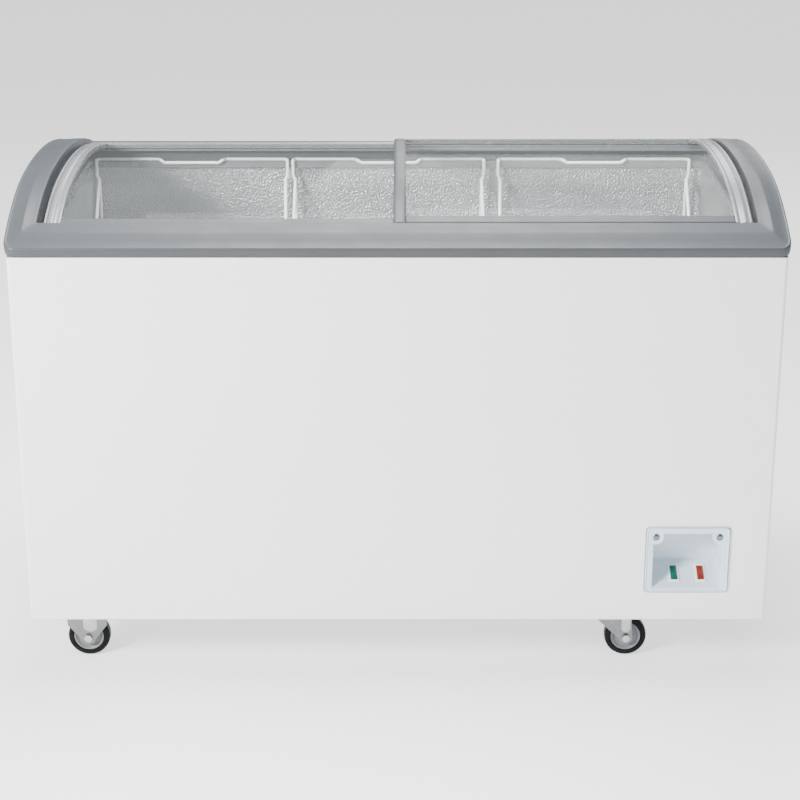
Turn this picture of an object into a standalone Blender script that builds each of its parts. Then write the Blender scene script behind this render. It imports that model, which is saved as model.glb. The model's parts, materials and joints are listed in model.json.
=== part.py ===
"""Chest freezer for a shop: white steel cabinet, arched grey top frame, two curved glass lids that
slide sideways past each other, three hanging wire baskets, embossed aluminium tub and four castors.

Metres, +Z up, +X to the right and -Y towards the customer. The origin is on the floor, under the
middle of the cabinet. Depths named "depth" are measured backwards from the top frame's front face.
"""

import math

import bmesh
import bpy
from mathutils import Matrix, Vector

# Overall sizes
FRAME_WIDTH = 1.278
FRAME_DEPTH = 0.690
BODY_WIDTH = 1.270
BODY_DEPTH = 0.682
BODY_BOTTOM = 0.110
BODY_TOP = 0.7562
FRONT_FOLD = 0.010
SHEET = 0.001
GAP = 0.0003
FRONT = -FRAME_DEPTH / 2
BODY_X = BODY_WIDTH / 2
BODY_Y = BODY_DEPTH / 2
FOLD_END = -BODY_Y + 0.014

# The crown: the side profile of the top, a tight arc at the front that runs into a flat one
CROWN_PEAK_DEPTH = 0.345
CROWN_PEAK = 0.858
CROWN_REAR_RADIUS = 1.2
CROWN_FRONT_RADIUS = 0.5
CROWN_JOIN = math.radians(5.96)
REAR_CENTRE = (CROWN_PEAK_DEPTH, CROWN_PEAK - CROWN_REAR_RADIUS)
FRONT_CENTRE = (
    REAR_CENTRE[0] - (CROWN_REAR_RADIUS - CROWN_FRONT_RADIUS) * math.sin(CROWN_JOIN),
    REAR_CENTRE[1] + (CROWN_REAR_RADIUS - CROWN_FRONT_RADIUS) * math.cos(CROWN_JOIN),
)

# Top frame
FRAME_BOTTOM = 0.7567
FRAME_WALL = 0.004
FRAME_CORNER = 0.018
OPENING_X = 0.5905
OPENING_FRONT = 0.053
OPENING_REAR = 0.6305
REAR_RAIL_TOP = 0.811

# Tub
TUB_X = 0.583
TUB_Y = 0.284
TUB_FLOOR = 0.165
TUB_TOP = 0.7697
STEP_X = 0.335
STEP_TOP = 0.41
TUB_CORNER = 0.015
TUBE_SPACE = 0.0120

# Ledge that the baskets hang on, and the two lid tracks
LEDGE_BOTTOM = 0.770
LEDGE_TOP = 0.7825
LEDGE_FRONT_DEPTH = 0.089
LEDGE_REAR_DEPTH = 0.617
TRACK_X = 0.590

# Lids: insets are measured inwards from the crown
UPPER_GLASS = (0.002, 0.006)
UPPER_TRIM = (0.0005, 0.008)
LOWER_GLASS = (0.011, 0.015)
LOWER_TRIM = (0.010, 0.019)
UPPER_DEPTHS = (0.0540, 0.640)
LOWER_DEPTHS = (0.0622, 0.6215)
LID_END_X = 0.582
END_TRIM = 0.028
EDGE_TRIM = 0.0155
GLASS_BITE = 0.005
CENTRE_BAR = (-0.0065, 0.0145)
LOWER_CENTRE_TRIM = (-0.0035, 0.0125)
TRACK_STEP = 0.0618
TRACK_REAR = 0.0785
RUNNING_GAP = 0.0004

# Baskets
BASKET_WIDTH = 0.371
BASKET_CENTRES = {"left": -0.3935, "middle": -0.0177, "right": 0.3746}
RIM_WIRE = 0.003
HOOP_WIRE = 0.0025
GRID_WIRE = 0.002
RIM_FRONT = -0.2605
RIM_REAR = 0.2765
RIM_Z = LEDGE_TOP + GAP + RIM_WIRE
BASKET_DROP = 0.150
GRID_PITCH = 0.043
CROSS_WIRES = 2

# Machine room, behind the control panel
ROOM_X = 0.385
ROOM_TOP = 0.3625

# Castors
WHEEL_RADIUS = 0.0375
WHEEL_WIDTH = 0.025
HUB_RADIUS = 0.0265
AXLE_RADIUS = 0.004
CASTOR_TOP = 0.1092
CASTOR_Y = 0.2455
FIXED_X = -0.550
SWIVEL_X = 0.376
SWIVEL_Z = 0.090
TRAIL = 0.030
LEG_INNER = 0.0158
LEG_SHEET = 0.0025
PLATE_SIZE = (0.090, 0.068, 0.003)

# Control panel
PANEL_X = (0.4217, 0.5681)
PANEL_Z = (0.1618, 0.2849)
POCKET_X = (0.4369, 0.5529)
POCKET_Z = (0.1708, 0.2711)
POCKET_DEPTH = 0.0565
RAMP_TOP = 0.201
LAMP_X = {"green": 0.477, "red": 0.523}
SCREW_X = {"left": 0.4405, "right": 0.5500}
SCREW_Z = 0.2657
PANEL_FACE = -BODY_Y - GAP - 0.002
RAMP_RISE = RAMP_TOP - POCKET_Z[0]
RAMP_RUN = -BODY_Y + POCKET_DEPTH - PANEL_FACE
RAMP_ANGLE = math.atan2(RAMP_RISE, RAMP_RUN)

# Machine room: slotted plates, cable bush and the cooling tube's way down
VENT_THICKNESS = 0.003
VENT_BORDER = 0.018
VENT_SLOTS = 8
SLOT_PITCH = 0.0205
SLOT_HEIGHT = 0.0075
GRILLE_Y = (-0.10, 0.22)
GRILLE_Z = (0.145, 0.335)
COVER_X = (0.430, 0.615)
COVER_Z = (0.145, 0.335)
GLAND_AT = (0.408, 0.165)
TUBE_RADIUS = 0.0038
TUBE_CLEAR = 0.0008
PIPE_AT = (TUB_X + SHEET + TUBE_CLEAR + TUBE_RADIUS, 0.235)
COMPRESSOR_AT = (0.490, 0.080)
CONDENSER_X = 0.6215

# Local axes of a flat outline: across (x, y), then the direction it is extruded in
FACING_X = Matrix(((0, 0, 1, 0), (1, 0, 0, 0), (0, 1, 0, 0), (0, 0, 0, 1)))
FACING_Y = Matrix(((1, 0, 0, 0), (0, 0, -1, 0), (0, 1, 0, 0), (0, 0, 0, 1)))
FACING_Z = Matrix.Identity(4)

MATERIALS = {
    "white_enamel": ((0.86, 0.87, 0.87), 0.25, 0.0),
    "grey_plastic": ((0.40, 0.42, 0.44), 0.40, 0.0),
    "pale_plastic": ((0.60, 0.62, 0.64), 0.40, 0.0),
    "embossed_aluminium": ((0.72, 0.73, 0.74), 0.35, 1.0),
    "galvanised_steel": ((0.60, 0.61, 0.62), 0.40, 1.0),
    "bright_zinc": ((0.80, 0.80, 0.79), 0.25, 1.0),
    "copper": ((0.80, 0.45, 0.30), 0.30, 1.0),
    "black_enamel": ((0.02, 0.02, 0.02), 0.35, 0.0),
    "black_rubber": ((0.02, 0.02, 0.02), 0.55, 0.0),
    "grey_nylon": ((0.33, 0.35, 0.36), 0.45, 0.0),
    "white_wire": ((0.88, 0.88, 0.87), 0.30, 0.0),
    "foam": ((0.85, 0.78, 0.55), 0.90, 0.0),
    "glass": ((0.80, 0.85, 0.84), 0.05, 0.0),
    "panel_plastic": ((0.76, 0.82, 0.86), 0.35, 0.0),
    "lamp_white": ((0.90, 0.90, 0.88), 0.30, 0.0),
    "green_lens": ((0.00, 0.35, 0.25), 0.15, 0.0),
    "red_lens": ((0.60, 0.08, 0.03), 0.15, 0.0),
}


def clear_scene():
    for obj in list(bpy.data.objects):
        bpy.data.objects.remove(obj, do_unlink=True)


def collection_named(name):
    found = bpy.data.collections.new(name)
    bpy.context.scene.collection.children.link(found)
    return found


clear_scene()
PARTS = collection_named("chest_freezer")
CUTTERS = collection_named("cutters")


def material_of(name):
    found = bpy.data.materials.get(name)
    if found is None:
        colour, roughness, metallic = MATERIALS[name]
        found = bpy.data.materials.new(name)
        found.use_nodes = True
        shader = found.node_tree.nodes["Principled BSDF"]
        shader.inputs["Base Color"].default_value = (*colour, 1.0)
        shader.inputs["Roughness"].default_value = roughness
        shader.inputs["Metallic"].default_value = metallic
        shader.inputs["Transmission Weight"].default_value = float(name == "glass")
    return found


def part(name, mesh, finish):
    obj = bpy.data.objects.new(name, mesh)
    mesh.materials.clear()
    mesh.materials.append(material_of(finish))
    PARTS.objects.link(obj)
    return obj


def pivot(name, place, *objects):
    """An empty on a joint's axis that carries the joint's pieces, each left where it is."""
    empty = bpy.data.objects.new(name, None)
    empty.location = place
    empty.empty_display_size = 0.02
    PARTS.objects.link(empty)
    for obj in objects:
        obj.parent = empty
        obj.matrix_parent_inverse = Matrix.Translation(place).inverted()


def cutter(name, mesh):
    obj = bpy.data.objects.new(name, mesh)
    CUTTERS.objects.link(obj)
    obj.hide_render = True
    obj.display_type = "WIRE"
    return obj


# ---------------------------------------------------------------- shapes


def box_mesh(name, low, high):
    bm = bmesh.new()
    bmesh.ops.create_cube(bm, size=1.0)
    low, high = Vector(low), Vector(high)
    bmesh.ops.scale(bm, vec=high - low, verts=bm.verts)
    bmesh.ops.translate(bm, vec=(high + low) / 2, verts=bm.verts)
    mesh = bpy.data.meshes.new(name)
    bm.to_mesh(mesh)
    bm.free()
    return mesh


def mesh_of_curve(name, curve, matrix):
    """The evaluated curve as a welded mesh, with its matrix applied."""
    helper = bpy.data.objects.new(name + "_curve", curve)
    bpy.context.scene.collection.objects.link(helper)
    bpy.context.view_layer.update()
    graph = bpy.context.evaluated_depsgraph_get()
    mesh = bpy.data.meshes.new_from_object(helper.evaluated_get(graph))
    mesh.name = name
    bpy.data.objects.remove(helper, do_unlink=True)
    bm = bmesh.new()
    bm.from_mesh(mesh)
    bmesh.ops.remove_doubles(bm, verts=bm.verts, dist=0.00002)
    bmesh.ops.transform(bm, matrix=matrix, verts=bm.verts)
    bmesh.ops.recalc_face_normals(bm, faces=bm.faces)
    bm.to_mesh(mesh)
    bm.free()
    return mesh


def flat_mesh(name, outline, start, end, facing):
    """A closed outline of (across, up) points, extruded from start to end."""
    curve = bpy.data.curves.new(name, "CURVE")
    curve.dimensions = "2D"
    curve.fill_mode = "BOTH"
    curve.extrude = abs(end - start) / 2
    spline = curve.splines.new("POLY")
    spline.points.add(len(outline) - 1)
    for point, (across, up) in zip(spline.points, outline):
        point.co = (across, up, 0, 1)
    spline.use_cyclic_u = True
    middle = Matrix.Translation((0, 0, (start + end) / 2))
    if facing == FACING_Y:
        middle = Matrix.Translation((0, 0, -(start + end) / 2))
    return mesh_of_curve(name, curve, facing @ middle)


def wire_mesh(name, points, radius, closed=False, resolution=1):
    """A round wire through the points: 4, 6 or 8 sides at resolution 0, 1 or 2."""
    curve = bpy.data.curves.new(name, "CURVE")
    curve.dimensions = "3D"
    curve.bevel_depth = radius
    curve.bevel_resolution = resolution
    curve.use_fill_caps = not closed
    spline = curve.splines.new("POLY")
    spline.points.add(len(points) - 1)
    for point, place in zip(spline.points, points):
        point.co = (*place, 1)
    spline.use_cyclic_u = closed
    return mesh_of_curve(name, curve, Matrix.Identity(4))


def turned_mesh(name, profile, axis, centre, steps=20, closed=False):
    """A (radius, height) profile turned once round: it starts and ends on the axis, or is a closed ring."""
    bm = bmesh.new()
    points = [bm.verts.new((radius, 0, height)) for radius, height in profile]
    for first, second in zip(points, points[1:] + points[:1] if closed else points[1:]):
        bm.edges.new((first, second))
    outline = bm.verts[:] + bm.edges[:]
    turn = {"cent": (0, 0, 0), "axis": (0, 0, 1), "angle": math.tau}
    bmesh.ops.spin(bm, geom=outline, steps=steps, use_merge=True, **turn)
    bmesh.ops.remove_doubles(bm, verts=bm.verts, dist=0.00001)
    bmesh.ops.recalc_face_normals(bm, faces=bm.faces)
    turn = Vector((0, 0, 1)).rotation_difference(Vector(axis)).to_matrix().to_4x4()
    bmesh.ops.transform(bm, matrix=Matrix.Translation(centre) @ turn, verts=bm.verts)
    mesh = bpy.data.meshes.new(name)
    bm.to_mesh(mesh)
    bm.free()
    return mesh


def bevelled(obj, width, segments=2, angle=math.radians(30)):
    bevel = obj.modifiers.new("rounded", "BEVEL")
    bevel.width = width
    bevel.segments = segments
    bevel.limit_method = "ANGLE"
    bevel.angle_limit = angle
    return obj


def combined(obj, operation, *meshes):
    """Cuts each mesh from the object, or joins it on, with a live Boolean modifier."""
    for index, mesh in enumerate(meshes):
        boolean = obj.modifiers.new(f"{operation.lower()}_{index}", "BOOLEAN")
        boolean.operation = operation
        boolean.solver = "EXACT"
        boolean.object = cutter(f"{obj.name}_{operation.lower()}_{mesh.name}", mesh)
    return obj


def baked(name, mesh, *steps):
    """The mesh after a row of Booleans, each an (operation, mesh) pair."""
    helpers = [bpy.data.objects.new("helper", shape) for shape in (mesh, *(shape for _, shape in steps))]
    for helper in helpers:
        bpy.context.scene.collection.objects.link(helper)
    for (operation, _), helper in zip(steps, helpers[1:]):
        boolean = helpers[0].modifiers.new(operation, "BOOLEAN")
        boolean.operation = operation
        boolean.solver = "EXACT"
        boolean.object = helper
    bpy.context.view_layer.update()
    graph = bpy.context.evaluated_depsgraph_get()
    result = bpy.data.meshes.new_from_object(helpers[0].evaluated_get(graph))
    result.name = name
    for helper in helpers:
        bpy.data.objects.remove(helper, do_unlink=True)
    return result


def cut(obj, *meshes):
    return combined(obj, "DIFFERENCE", *meshes)


def joined(obj, *meshes):
    return combined(obj, "UNION", *meshes)


def smooth(obj, degrees=35):
    obj.data.shade_smooth()
    obj.data.set_sharp_from_angle(angle=math.radians(degrees))
    return obj


def rounded_rectangle(half_x, half_y, radius, steps=4, centre=(0, 0)):
    """Points round a rectangle, counter-clockwise from its right side."""
    points = []
    for index, (side_x, side_y) in enumerate(((1, 1), (-1, 1), (-1, -1), (1, -1))):
        for step in range(steps + 1):
            angle = math.radians(90 * index + 90 * step / steps)
            across = side_x * (half_x - radius) + radius * math.cos(angle)
            along = side_y * (half_y - radius) + radius * math.sin(angle)
            points.append((centre[0] + across, centre[1] + along))
    return points


# ---------------------------------------------------------------- the crown


def crown_point(depth, inset=0.0):
    """(y, z) on the crown moved in by inset, at a depth behind the frame's front face."""
    for (centre_depth, centre_z), radius in (
        (FRONT_CENTRE, CROWN_FRONT_RADIUS - inset),
        (REAR_CENTRE, CROWN_REAR_RADIUS - inset),
    ):
        lean = math.asin((centre_depth - depth) / radius)
        if lean >= CROWN_JOIN:
            break
    return FRONT + depth, centre_z + radius * math.cos(lean)


def crown_line(start, end, inset=0.0, steps=24):
    """Points along the crown from one depth to another, closer together where it is tighter."""
    points = []
    for step in range(steps + 1):
        share = (step / steps) ** 1.25
        points.append(crown_point(start + (end - start) * share, inset))
    return points


def crown_band(name, x_range, depths, insets, steps=24):
    """A strip of constant thickness that follows the crown."""
    outer = crown_line(*depths, insets[0], steps)
    inner = crown_line(*depths, insets[1], steps)
    return flat_mesh(name, outer + inner[::-1], *x_range, FACING_X)


# ---------------------------------------------------------------- cabinet


def make_front_panel():
    """Front sheet with rounded vertical edges and a short return each side, cut out for the controls."""
    outer, inner = [], []
    for line, inset in ((outer, 0), (inner, SHEET)):
        edge_x, edge_y, radius = BODY_X - inset, BODY_Y - inset, FRONT_FOLD - inset
        line.append((-edge_x, FOLD_END))
        for side, start in ((-1, 180), (1, 270)):
            for step in range(5):
                angle = math.radians(start + 90 * step / 4)
                across = side * (edge_x - radius) + radius * math.cos(angle)
                line.append((across, radius - edge_y + radius * math.sin(angle)))
        line.append((edge_x, FOLD_END))
    sheet = flat_mesh("front_panel", outer + inner[::-1], BODY_BOTTOM, BODY_TOP, FACING_Z)
    panel = smooth(part("front_panel", sheet, "white_enamel"))
    margin = 0.003
    low = (POCKET_X[0] - margin, -BODY_Y - 0.01, POCKET_Z[0] - margin)
    high = (POCKET_X[1] + margin, -BODY_Y + 0.01, POCKET_Z[1] + margin)
    cut(panel, box_mesh("panel_hole", low, high))


def make_sheets():
    """Side and back sheets, with the machine room's two openings."""
    front_edge = FOLD_END + GAP
    for name, side in (("side_panel_left", -1), ("side_panel_right", 1)):
        across = sorted((side * BODY_X, side * (BODY_X - SHEET)))
        low, high = (across[0], front_edge, BODY_BOTTOM), (across[1], BODY_Y, BODY_TOP)
        panel = part(name, box_mesh(name, low, high), "white_enamel")
        if side > 0:
            low = (BODY_X - 0.01, GRILLE_Y[0] - GAP, GRILLE_Z[0] - GAP)
            high = (BODY_X + 0.01, GRILLE_Y[1] + GAP, GRILLE_Z[1] + GAP)
            cut(panel, box_mesh("grille_hole", low, high))
    edge = BODY_X - SHEET - GAP
    low, high = (-edge, BODY_Y - SHEET, BODY_BOTTOM), (edge, BODY_Y, BODY_TOP)
    back = part("back_panel", box_mesh("back_panel", low, high), "galvanised_steel")
    low = (COVER_X[0] - GAP, BODY_Y - 0.01, COVER_Z[0] - GAP)
    high = (COVER_X[1] + GAP, BODY_Y + 0.01, COVER_Z[1] + GAP)
    start = (GLAND_AT[0], BODY_Y - 0.011, GLAND_AT[1])
    gland_hole = turned_mesh("gland_hole", rod_profile(0.0075, 0.02), (0, 1, 0), start)
    cut(back, box_mesh("cover_hole", low, high), gland_hole)


def rod_profile(radius, length):
    return [(0, 0), (radius, 0), (radius, length), (0, length)]


def make_bottom_tray():
    """Base pan: a flat sheet with upturned edges inside the side panels."""
    edge_x, edge_y, rise, wall = BODY_X - SHEET - GAP, BODY_Y - SHEET - GAP, 0.022, 0.0012
    outline = rounded_rectangle(edge_x, edge_y, FRONT_FOLD)
    block = flat_mesh("bottom_tray", outline, BODY_BOTTOM, BODY_BOTTOM + rise, FACING_Z)
    pan = part("bottom_tray", block, "galvanised_steel")
    inside = rounded_rectangle(edge_x - wall, edge_y - wall, FRONT_FOLD)
    cut(pan, flat_mesh("pan_inside", inside, BODY_BOTTOM + wall, BODY_BOTTOM + 2 * rise, FACING_Z))


def filleted(points, radius, steps=3):
    """The open outline with each inner corner rounded."""
    rounded = [points[0]]
    for before, corner, after in zip(points, points[1:], points[2:]):
        corner = Vector(corner)
        back, on = (Vector(before) - corner).normalized(), (Vector(after) - corner).normalized()
        half = back.angle(on) / 2
        centre = corner + (back + on).normalized() * radius / math.sin(half)
        start = corner + back * radius / math.tan(half) - centre
        end = corner + on * radius / math.tan(half) - centre
        rounded += [tuple(centre + start.slerp(end, step / steps) * radius) for step in range(steps + 1)]
    return rounded + [points[-1]]


def tub_outline(grow, top):
    """The tub seen from the front, with its step over the machine room, grown by a margin."""
    return [
        (-TUB_X - grow, top),
        (-TUB_X - grow, TUB_FLOOR - grow),
        (STEP_X + grow, TUB_FLOOR - grow),
        (STEP_X + grow, STEP_TOP - grow),
        (TUB_X + grow, STEP_TOP - grow),
        (TUB_X + grow, top),
    ]


def tub_mesh(name, grow, top):
    """The tub's space as a solid, grown by a margin: its side view crossed with its plan."""
    side = filleted(tub_outline(grow, top), TUB_CORNER)
    plan = rounded_rectangle(TUB_X + grow, TUB_Y + grow, TUB_CORNER + grow, steps=3)
    crossed = flat_mesh("plan", plan, TUB_FLOOR - 0.1, top + 0.1, FACING_Z)
    return baked(name, flat_mesh("side", side, -1, 1, FACING_Y), ("INTERSECT", crossed))


def make_liner():
    """Embossed aluminium tub: a thin shell, open at the top."""
    liner = part("liner", tub_mesh("liner", SHEET, TUB_TOP), "embossed_aluminium")
    smooth(cut(liner, tub_mesh("tub_inside", 0, TUB_TOP + 0.05)))


def make_insulation():
    """Foamed body between the tub and the outer sheets, with room round the tub for the cooling tube."""
    clear = 0.002
    plan = rounded_rectangle(BODY_X - SHEET - clear, BODY_Y - SHEET - clear, FRONT_FOLD)
    block = flat_mesh("foam_insulation", plan, BODY_BOTTOM + clear, BODY_TOP, FACING_Z)
    foam = part("foam_insulation", block, "foam")
    tub_space = tub_mesh("tub_space", TUBE_SPACE, TUB_TOP + 0.05)
    room = box_mesh("room_space", (ROOM_X - GAP, -1, -1), (1, 1, ROOM_TOP + SHEET + GAP))
    pipe_way = turned_mesh("pipe_way", rod_profile(0.007, 0.2), (0, 0, 1), (*PIPE_AT, 0.3), 10)
    cut(foam, tub_space, room, pipe_way)


def make_room_wall():
    """Bent sheet that parts the machine room from the foam."""
    edge = BODY_X - SHEET - GAP
    outline = [
        (ROOM_X, BODY_BOTTOM + 0.0016),
        (ROOM_X, ROOM_TOP + SHEET),
        (edge, ROOM_TOP + SHEET),
        (edge, ROOM_TOP),
        (ROOM_X + SHEET, ROOM_TOP),
        (ROOM_X + SHEET, BODY_BOTTOM + 0.0016),
    ]
    reach = BODY_Y - 0.012
    bent = flat_mesh("machine_room_wall", outline, -reach, reach, FACING_Y)
    wall = part("machine_room_wall", bent, "galvanised_steel")
    cut(wall, turned_mesh("pipe_hole", rod_profile(0.006, 0.2), (0, 0, 1), (*PIPE_AT, 0.3), 10))


def make_evaporator():
    """Cooling tube wound round the tub, with a tail down to the machine room."""
    half_x, half_y, radius = PIPE_AT[0], TUB_Y + SHEET + TUBE_CLEAR + TUBE_RADIUS, TUB_CORNER + 0.004
    turns, low, pitch = 5, 0.460, 0.055
    loop = rounded_rectangle(half_x, half_y, radius, steps=3)
    count = len(loop)
    points = []
    for index in range(turns * count):
        x, y = loop[index % count]
        points.append((x, y, low + pitch * index / count))
    tail = [(PIPE_AT[0], PIPE_AT[1], 0.315), (PIPE_AT[0], PIPE_AT[1], low - 0.02)]
    mesh = wire_mesh("evaporator_tube", tail + points, TUBE_RADIUS, resolution=0)
    smooth(part("evaporator_tube", mesh, "copper"), 60)


# ---------------------------------------------------------------- top frame and tracks


def make_top_frame():
    """Hollow grey moulding round the opening, its top following the crown, open underneath."""
    corner = rounded_rectangle(FRAME_WIDTH / 2, FRAME_DEPTH / 2, FRAME_CORNER, steps=3)
    crown = crown_line(0, FRAME_DEPTH)
    outline = [(FRONT, FRAME_BOTTOM), *crown, (-FRONT, FRAME_BOTTOM)]
    block = flat_mesh("top_frame", outline, -FRAME_WIDTH / 2, FRAME_WIDTH / 2, FACING_X)
    frame = part("top_frame", block, "grey_plastic")
    rounding = frame.modifiers.new("corners", "BOOLEAN")
    rounding.operation = "INTERSECT"
    rounding.object = cutter("frame_corners", flat_mesh("frame_corners", corner, 0.5, 1.0, FACING_Z))
    front, rear = FRONT + OPENING_FRONT, FRONT + OPENING_REAR
    opening = box_mesh("opening", (-OPENING_X, front, 0), (OPENING_X, rear, 1))
    rail = box_mesh("rail_top", (-OPENING_X, rear - 0.01, REAR_RAIL_TOP), (OPENING_X, 1, 1))
    cut(frame, opening, rail, hollow_of_frame())
    smooth(frame)


def hollow_of_frame():
    """The moulding's hollow: the same crown moved in, less a block round the opening."""
    wall = FRAME_WALL
    edge = FRAME_DEPTH - wall
    outline = [(FRONT + wall, 0.6), *crown_line(wall, edge, wall), (FRONT + edge, 0.6)]
    half = FRAME_WIDTH / 2 - wall
    front, rear = FRONT + OPENING_FRONT - wall, FRONT + OPENING_REAR + wall
    plan = rounded_rectangle(half, FRAME_DEPTH / 2 - wall, FRAME_CORNER - wall / 2, steps=3)
    wide = OPENING_X + wall
    return baked(
        "hollow",
        flat_mesh("hollow", outline, -half, half, FACING_X),
        ("DIFFERENCE", box_mesh("core", (-wide, front, 0), (wide, rear, 1))),
        ("DIFFERENCE", box_mesh("rail", (-wide, 0.2, REAR_RAIL_TOP - wall), (wide, 1, 1))),
        ("INTERSECT", flat_mesh("plan", plan, 0.5, 1.0, FACING_Z)),
    )


def make_ledge():
    """Pale strip round the tub's mouth that covers the liner's edge and carries the baskets."""
    front, rear = FRONT + OPENING_FRONT + 0.0005, FRONT + OPENING_REAR - 0.0005
    low, high = (-TRACK_X, front, LEDGE_BOTTOM), (TRACK_X, rear, LEDGE_TOP)
    ledge = part("basket_ledge", box_mesh("basket_ledge", low, high), "pale_plastic")
    mouth_low = (-TUB_X, FRONT + LEDGE_FRONT_DEPTH, 0)
    mouth_high = (TUB_X, FRONT + LEDGE_REAR_DEPTH, 1)
    cut(ledge, box_mesh("mouth", mouth_low, mouth_high))


def make_tracks():
    """Stepped rails: the upper step carries the right lid, the lower one the left lid."""
    low_step = LOWER_TRIM[1] + RUNNING_GAP
    high_step = UPPER_TRIM[1] + RUNNING_GAP
    start = OPENING_FRONT + 0.0005
    foot = LEDGE_TOP + GAP
    front = [
        (FRONT + start, foot),
        *crown_line(start, TRACK_STEP, high_step, 2),
        *crown_line(TRACK_STEP + 0.00001, TRACK_REAR, low_step, 3),
        (FRONT + TRACK_REAR, foot),
    ]
    part("front_track", flat_mesh("front_track", front, -TRACK_X, TRACK_X, FACING_X), "pale_plastic")
    lip, step, wall, tail = 0.612, 0.6223, 0.6298, 0.652
    under = crown_point(step, low_step)[1] - 0.0025
    top = crown_point(UPPER_DEPTHS[1], high_step)[1]
    rear = [
        (FRONT + lip, under),
        *crown_line(lip, step, low_step, 2),
        (FRONT + step, top),
        (FRONT + tail, top),
        (FRONT + tail, REAR_RAIL_TOP + GAP),
        (FRONT + wall, REAR_RAIL_TOP + GAP),
        (FRONT + wall, under),
    ]
    part("rear_track", flat_mesh("rear_track", rear, -TRACK_X, TRACK_X, FACING_X), "pale_plastic")


# ---------------------------------------------------------------- lids


def make_lid(side, glass_insets, trim_insets, depths, ends):
    """A curved pane with its four edges in grooved trims. ends is its outer and inner trim, in X."""
    outer, inner = ends
    left_trim, right_trim = sorted((outer, inner))
    bite = GLASS_BITE
    glass_x = (left_trim[1] - bite, right_trim[0] + bite)
    glass_depths = (depths[0] + EDGE_TRIM - bite, depths[1] - EDGE_TRIM + bite)
    glass = crown_band("glass", glass_x, glass_depths, glass_insets)
    pieces = [smooth(part(f"lid_{side}_glass", glass, "glass"))]
    slack = (glass_insets[0] - GAP, glass_insets[1] + GAP)
    groove_x = (glass_x[0] - GAP, glass_x[1] + GAP)
    groove_depths = (glass_depths[0] - GAP, glass_depths[1] + GAP)
    names = {outer: "end_trim", inner: "centre_trim"}
    for trim_x in (left_trim, right_trim):
        name = f"lid_{side}_{names[trim_x]}"
        trim = part(name, crown_band(name, trim_x, depths, trim_insets), "grey_plastic")
        cut(trim, crown_band("groove", groove_x, groove_depths, slack))
        pieces.append(smooth(trim))
    strip_x = (left_trim[1] + GAP, right_trim[0] - GAP)
    for name, start in (("front_slider", depths[0]), ("rear_slider", depths[1] - EDGE_TRIM)):
        name = f"lid_{side}_{name}"
        span = (start, start + EDGE_TRIM)
        strip = part(name, crown_band(name, strip_x, span, trim_insets, 2), "grey_plastic")
        wide = (strip_x[0] - 0.01, strip_x[1] + 0.01)
        pieces.append(cut(strip, crown_band("groove", wide, groove_depths, slack)))
    middle = (left_trim[0] + right_trim[1]) / 2
    pivot(f"lid_{side}_slide", (middle, 0, crown_point(CROWN_PEAK_DEPTH, trim_insets[1])[1]), *pieces)


# ---------------------------------------------------------------- baskets


def basket_wires():
    """Every wire of a basket, about the middle of its rim: one closed rim and hoop wire, then the tray."""
    half = BASKET_WIDTH / 2 - RIM_WIRE
    front, rear = RIM_FRONT, RIM_REAR
    floor = -BASKET_DROP
    inner = half - 0.004
    grip, grip_in, ramp, fall, dip, run = 0.058, 0.012, 0.006, 0.006, -0.0045, 0.090
    rim = [(-half, rear - 0.004, 0), (-half + 0.006, rear, 0)]
    rim += [(-grip - ramp, rear, 0), (-grip, rear - grip_in, 0), (-grip + fall, rear - grip_in, dip)]
    rim += [(grip - fall, rear - grip_in, dip), (grip, rear - grip_in, 0), (grip + ramp, rear, 0)]
    rim += [(half - 0.006, rear, 0), (half, rear - 0.004, 0)]
    hoop = [(half, rear - 0.0095, -0.001), (half, rear - 0.0095, -0.030), (inner, rear - 0.0105, -0.038)]
    hoop += [(half - 0.001, rear - run, floor), (half - 0.001, front + run, floor)]
    hoop += [(inner, front + 0.0105, -0.038), (half, front + 0.0095, -0.030), (half, front + 0.0095, -0.001)]
    back_half = rim + hoop
    front_half = [(half, front + 0.004, 0), (half - 0.006, front, 0)]
    front_half += [(grip + ramp, front, 0), (grip, front + grip_in, 0), (grip - fall, front + grip_in, dip)]
    front_half += [(-grip + fall, front + grip_in, dip), (-grip, front + grip_in, 0), (-grip - ramp, front, 0)]
    front_half += [(-half + 0.006, front, 0), (-half, front + 0.004, 0)]
    left_hoop = [(-x, y, z) for x, y, z in hoop[::-1]]
    wires = [(back_half + front_half + left_hoop, RIM_WIRE, True)]
    reach = inner - 0.001
    tray_front, tray_rear = front + 0.0105, rear - 0.0105
    tray = [(-reach, tray_front), (reach, tray_front), (reach, tray_rear), (-reach, tray_rear)]
    wires.append(([(x, y, floor) for x, y in tray], HOOP_WIRE, True))
    for side in (-1, 1):
        for along in (tray_front, tray_rear):
            wires.append(([(side * reach, along, floor), (side * reach, along, -0.036)], HOOP_WIRE, False))
    for index in range(8):
        across = (index - 3.5) * GRID_PITCH
        ends = [(across, along, floor - 0.0025) for along in (tray_front + 0.001, tray_rear - 0.001)]
        wires.append((ends, GRID_WIRE, False))
    for index in range(CROSS_WIRES):
        along = tray_front + (tray_rear - tray_front) * (index + 1) / (CROSS_WIRES + 1)
        ends = [(-half + 0.001, along, floor - 0.0008), (half - 0.001, along, floor - 0.0008)]
        wires.append((ends, GRID_WIRE, False))
    return wires


def make_baskets():
    """Three equal baskets that share one mesh, each hanging in its own place on the ledge."""
    meshes = []
    for index, (points, radius, closed) in enumerate(basket_wires()):
        resolution = 0 if radius == GRID_WIRE else 1
        meshes.append(wire_mesh(f"wire_{index}", points, radius, closed, resolution))
    mesh = baked("basket", meshes[0], *(("UNION", wire) for wire in meshes[1:]))
    for place, centre in BASKET_CENTRES.items():
        basket = smooth(part(f"basket_{place}", mesh, "white_wire"), 60)
        basket.location = (centre, 0, RIM_Z)


# ---------------------------------------------------------------- control panel

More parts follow.
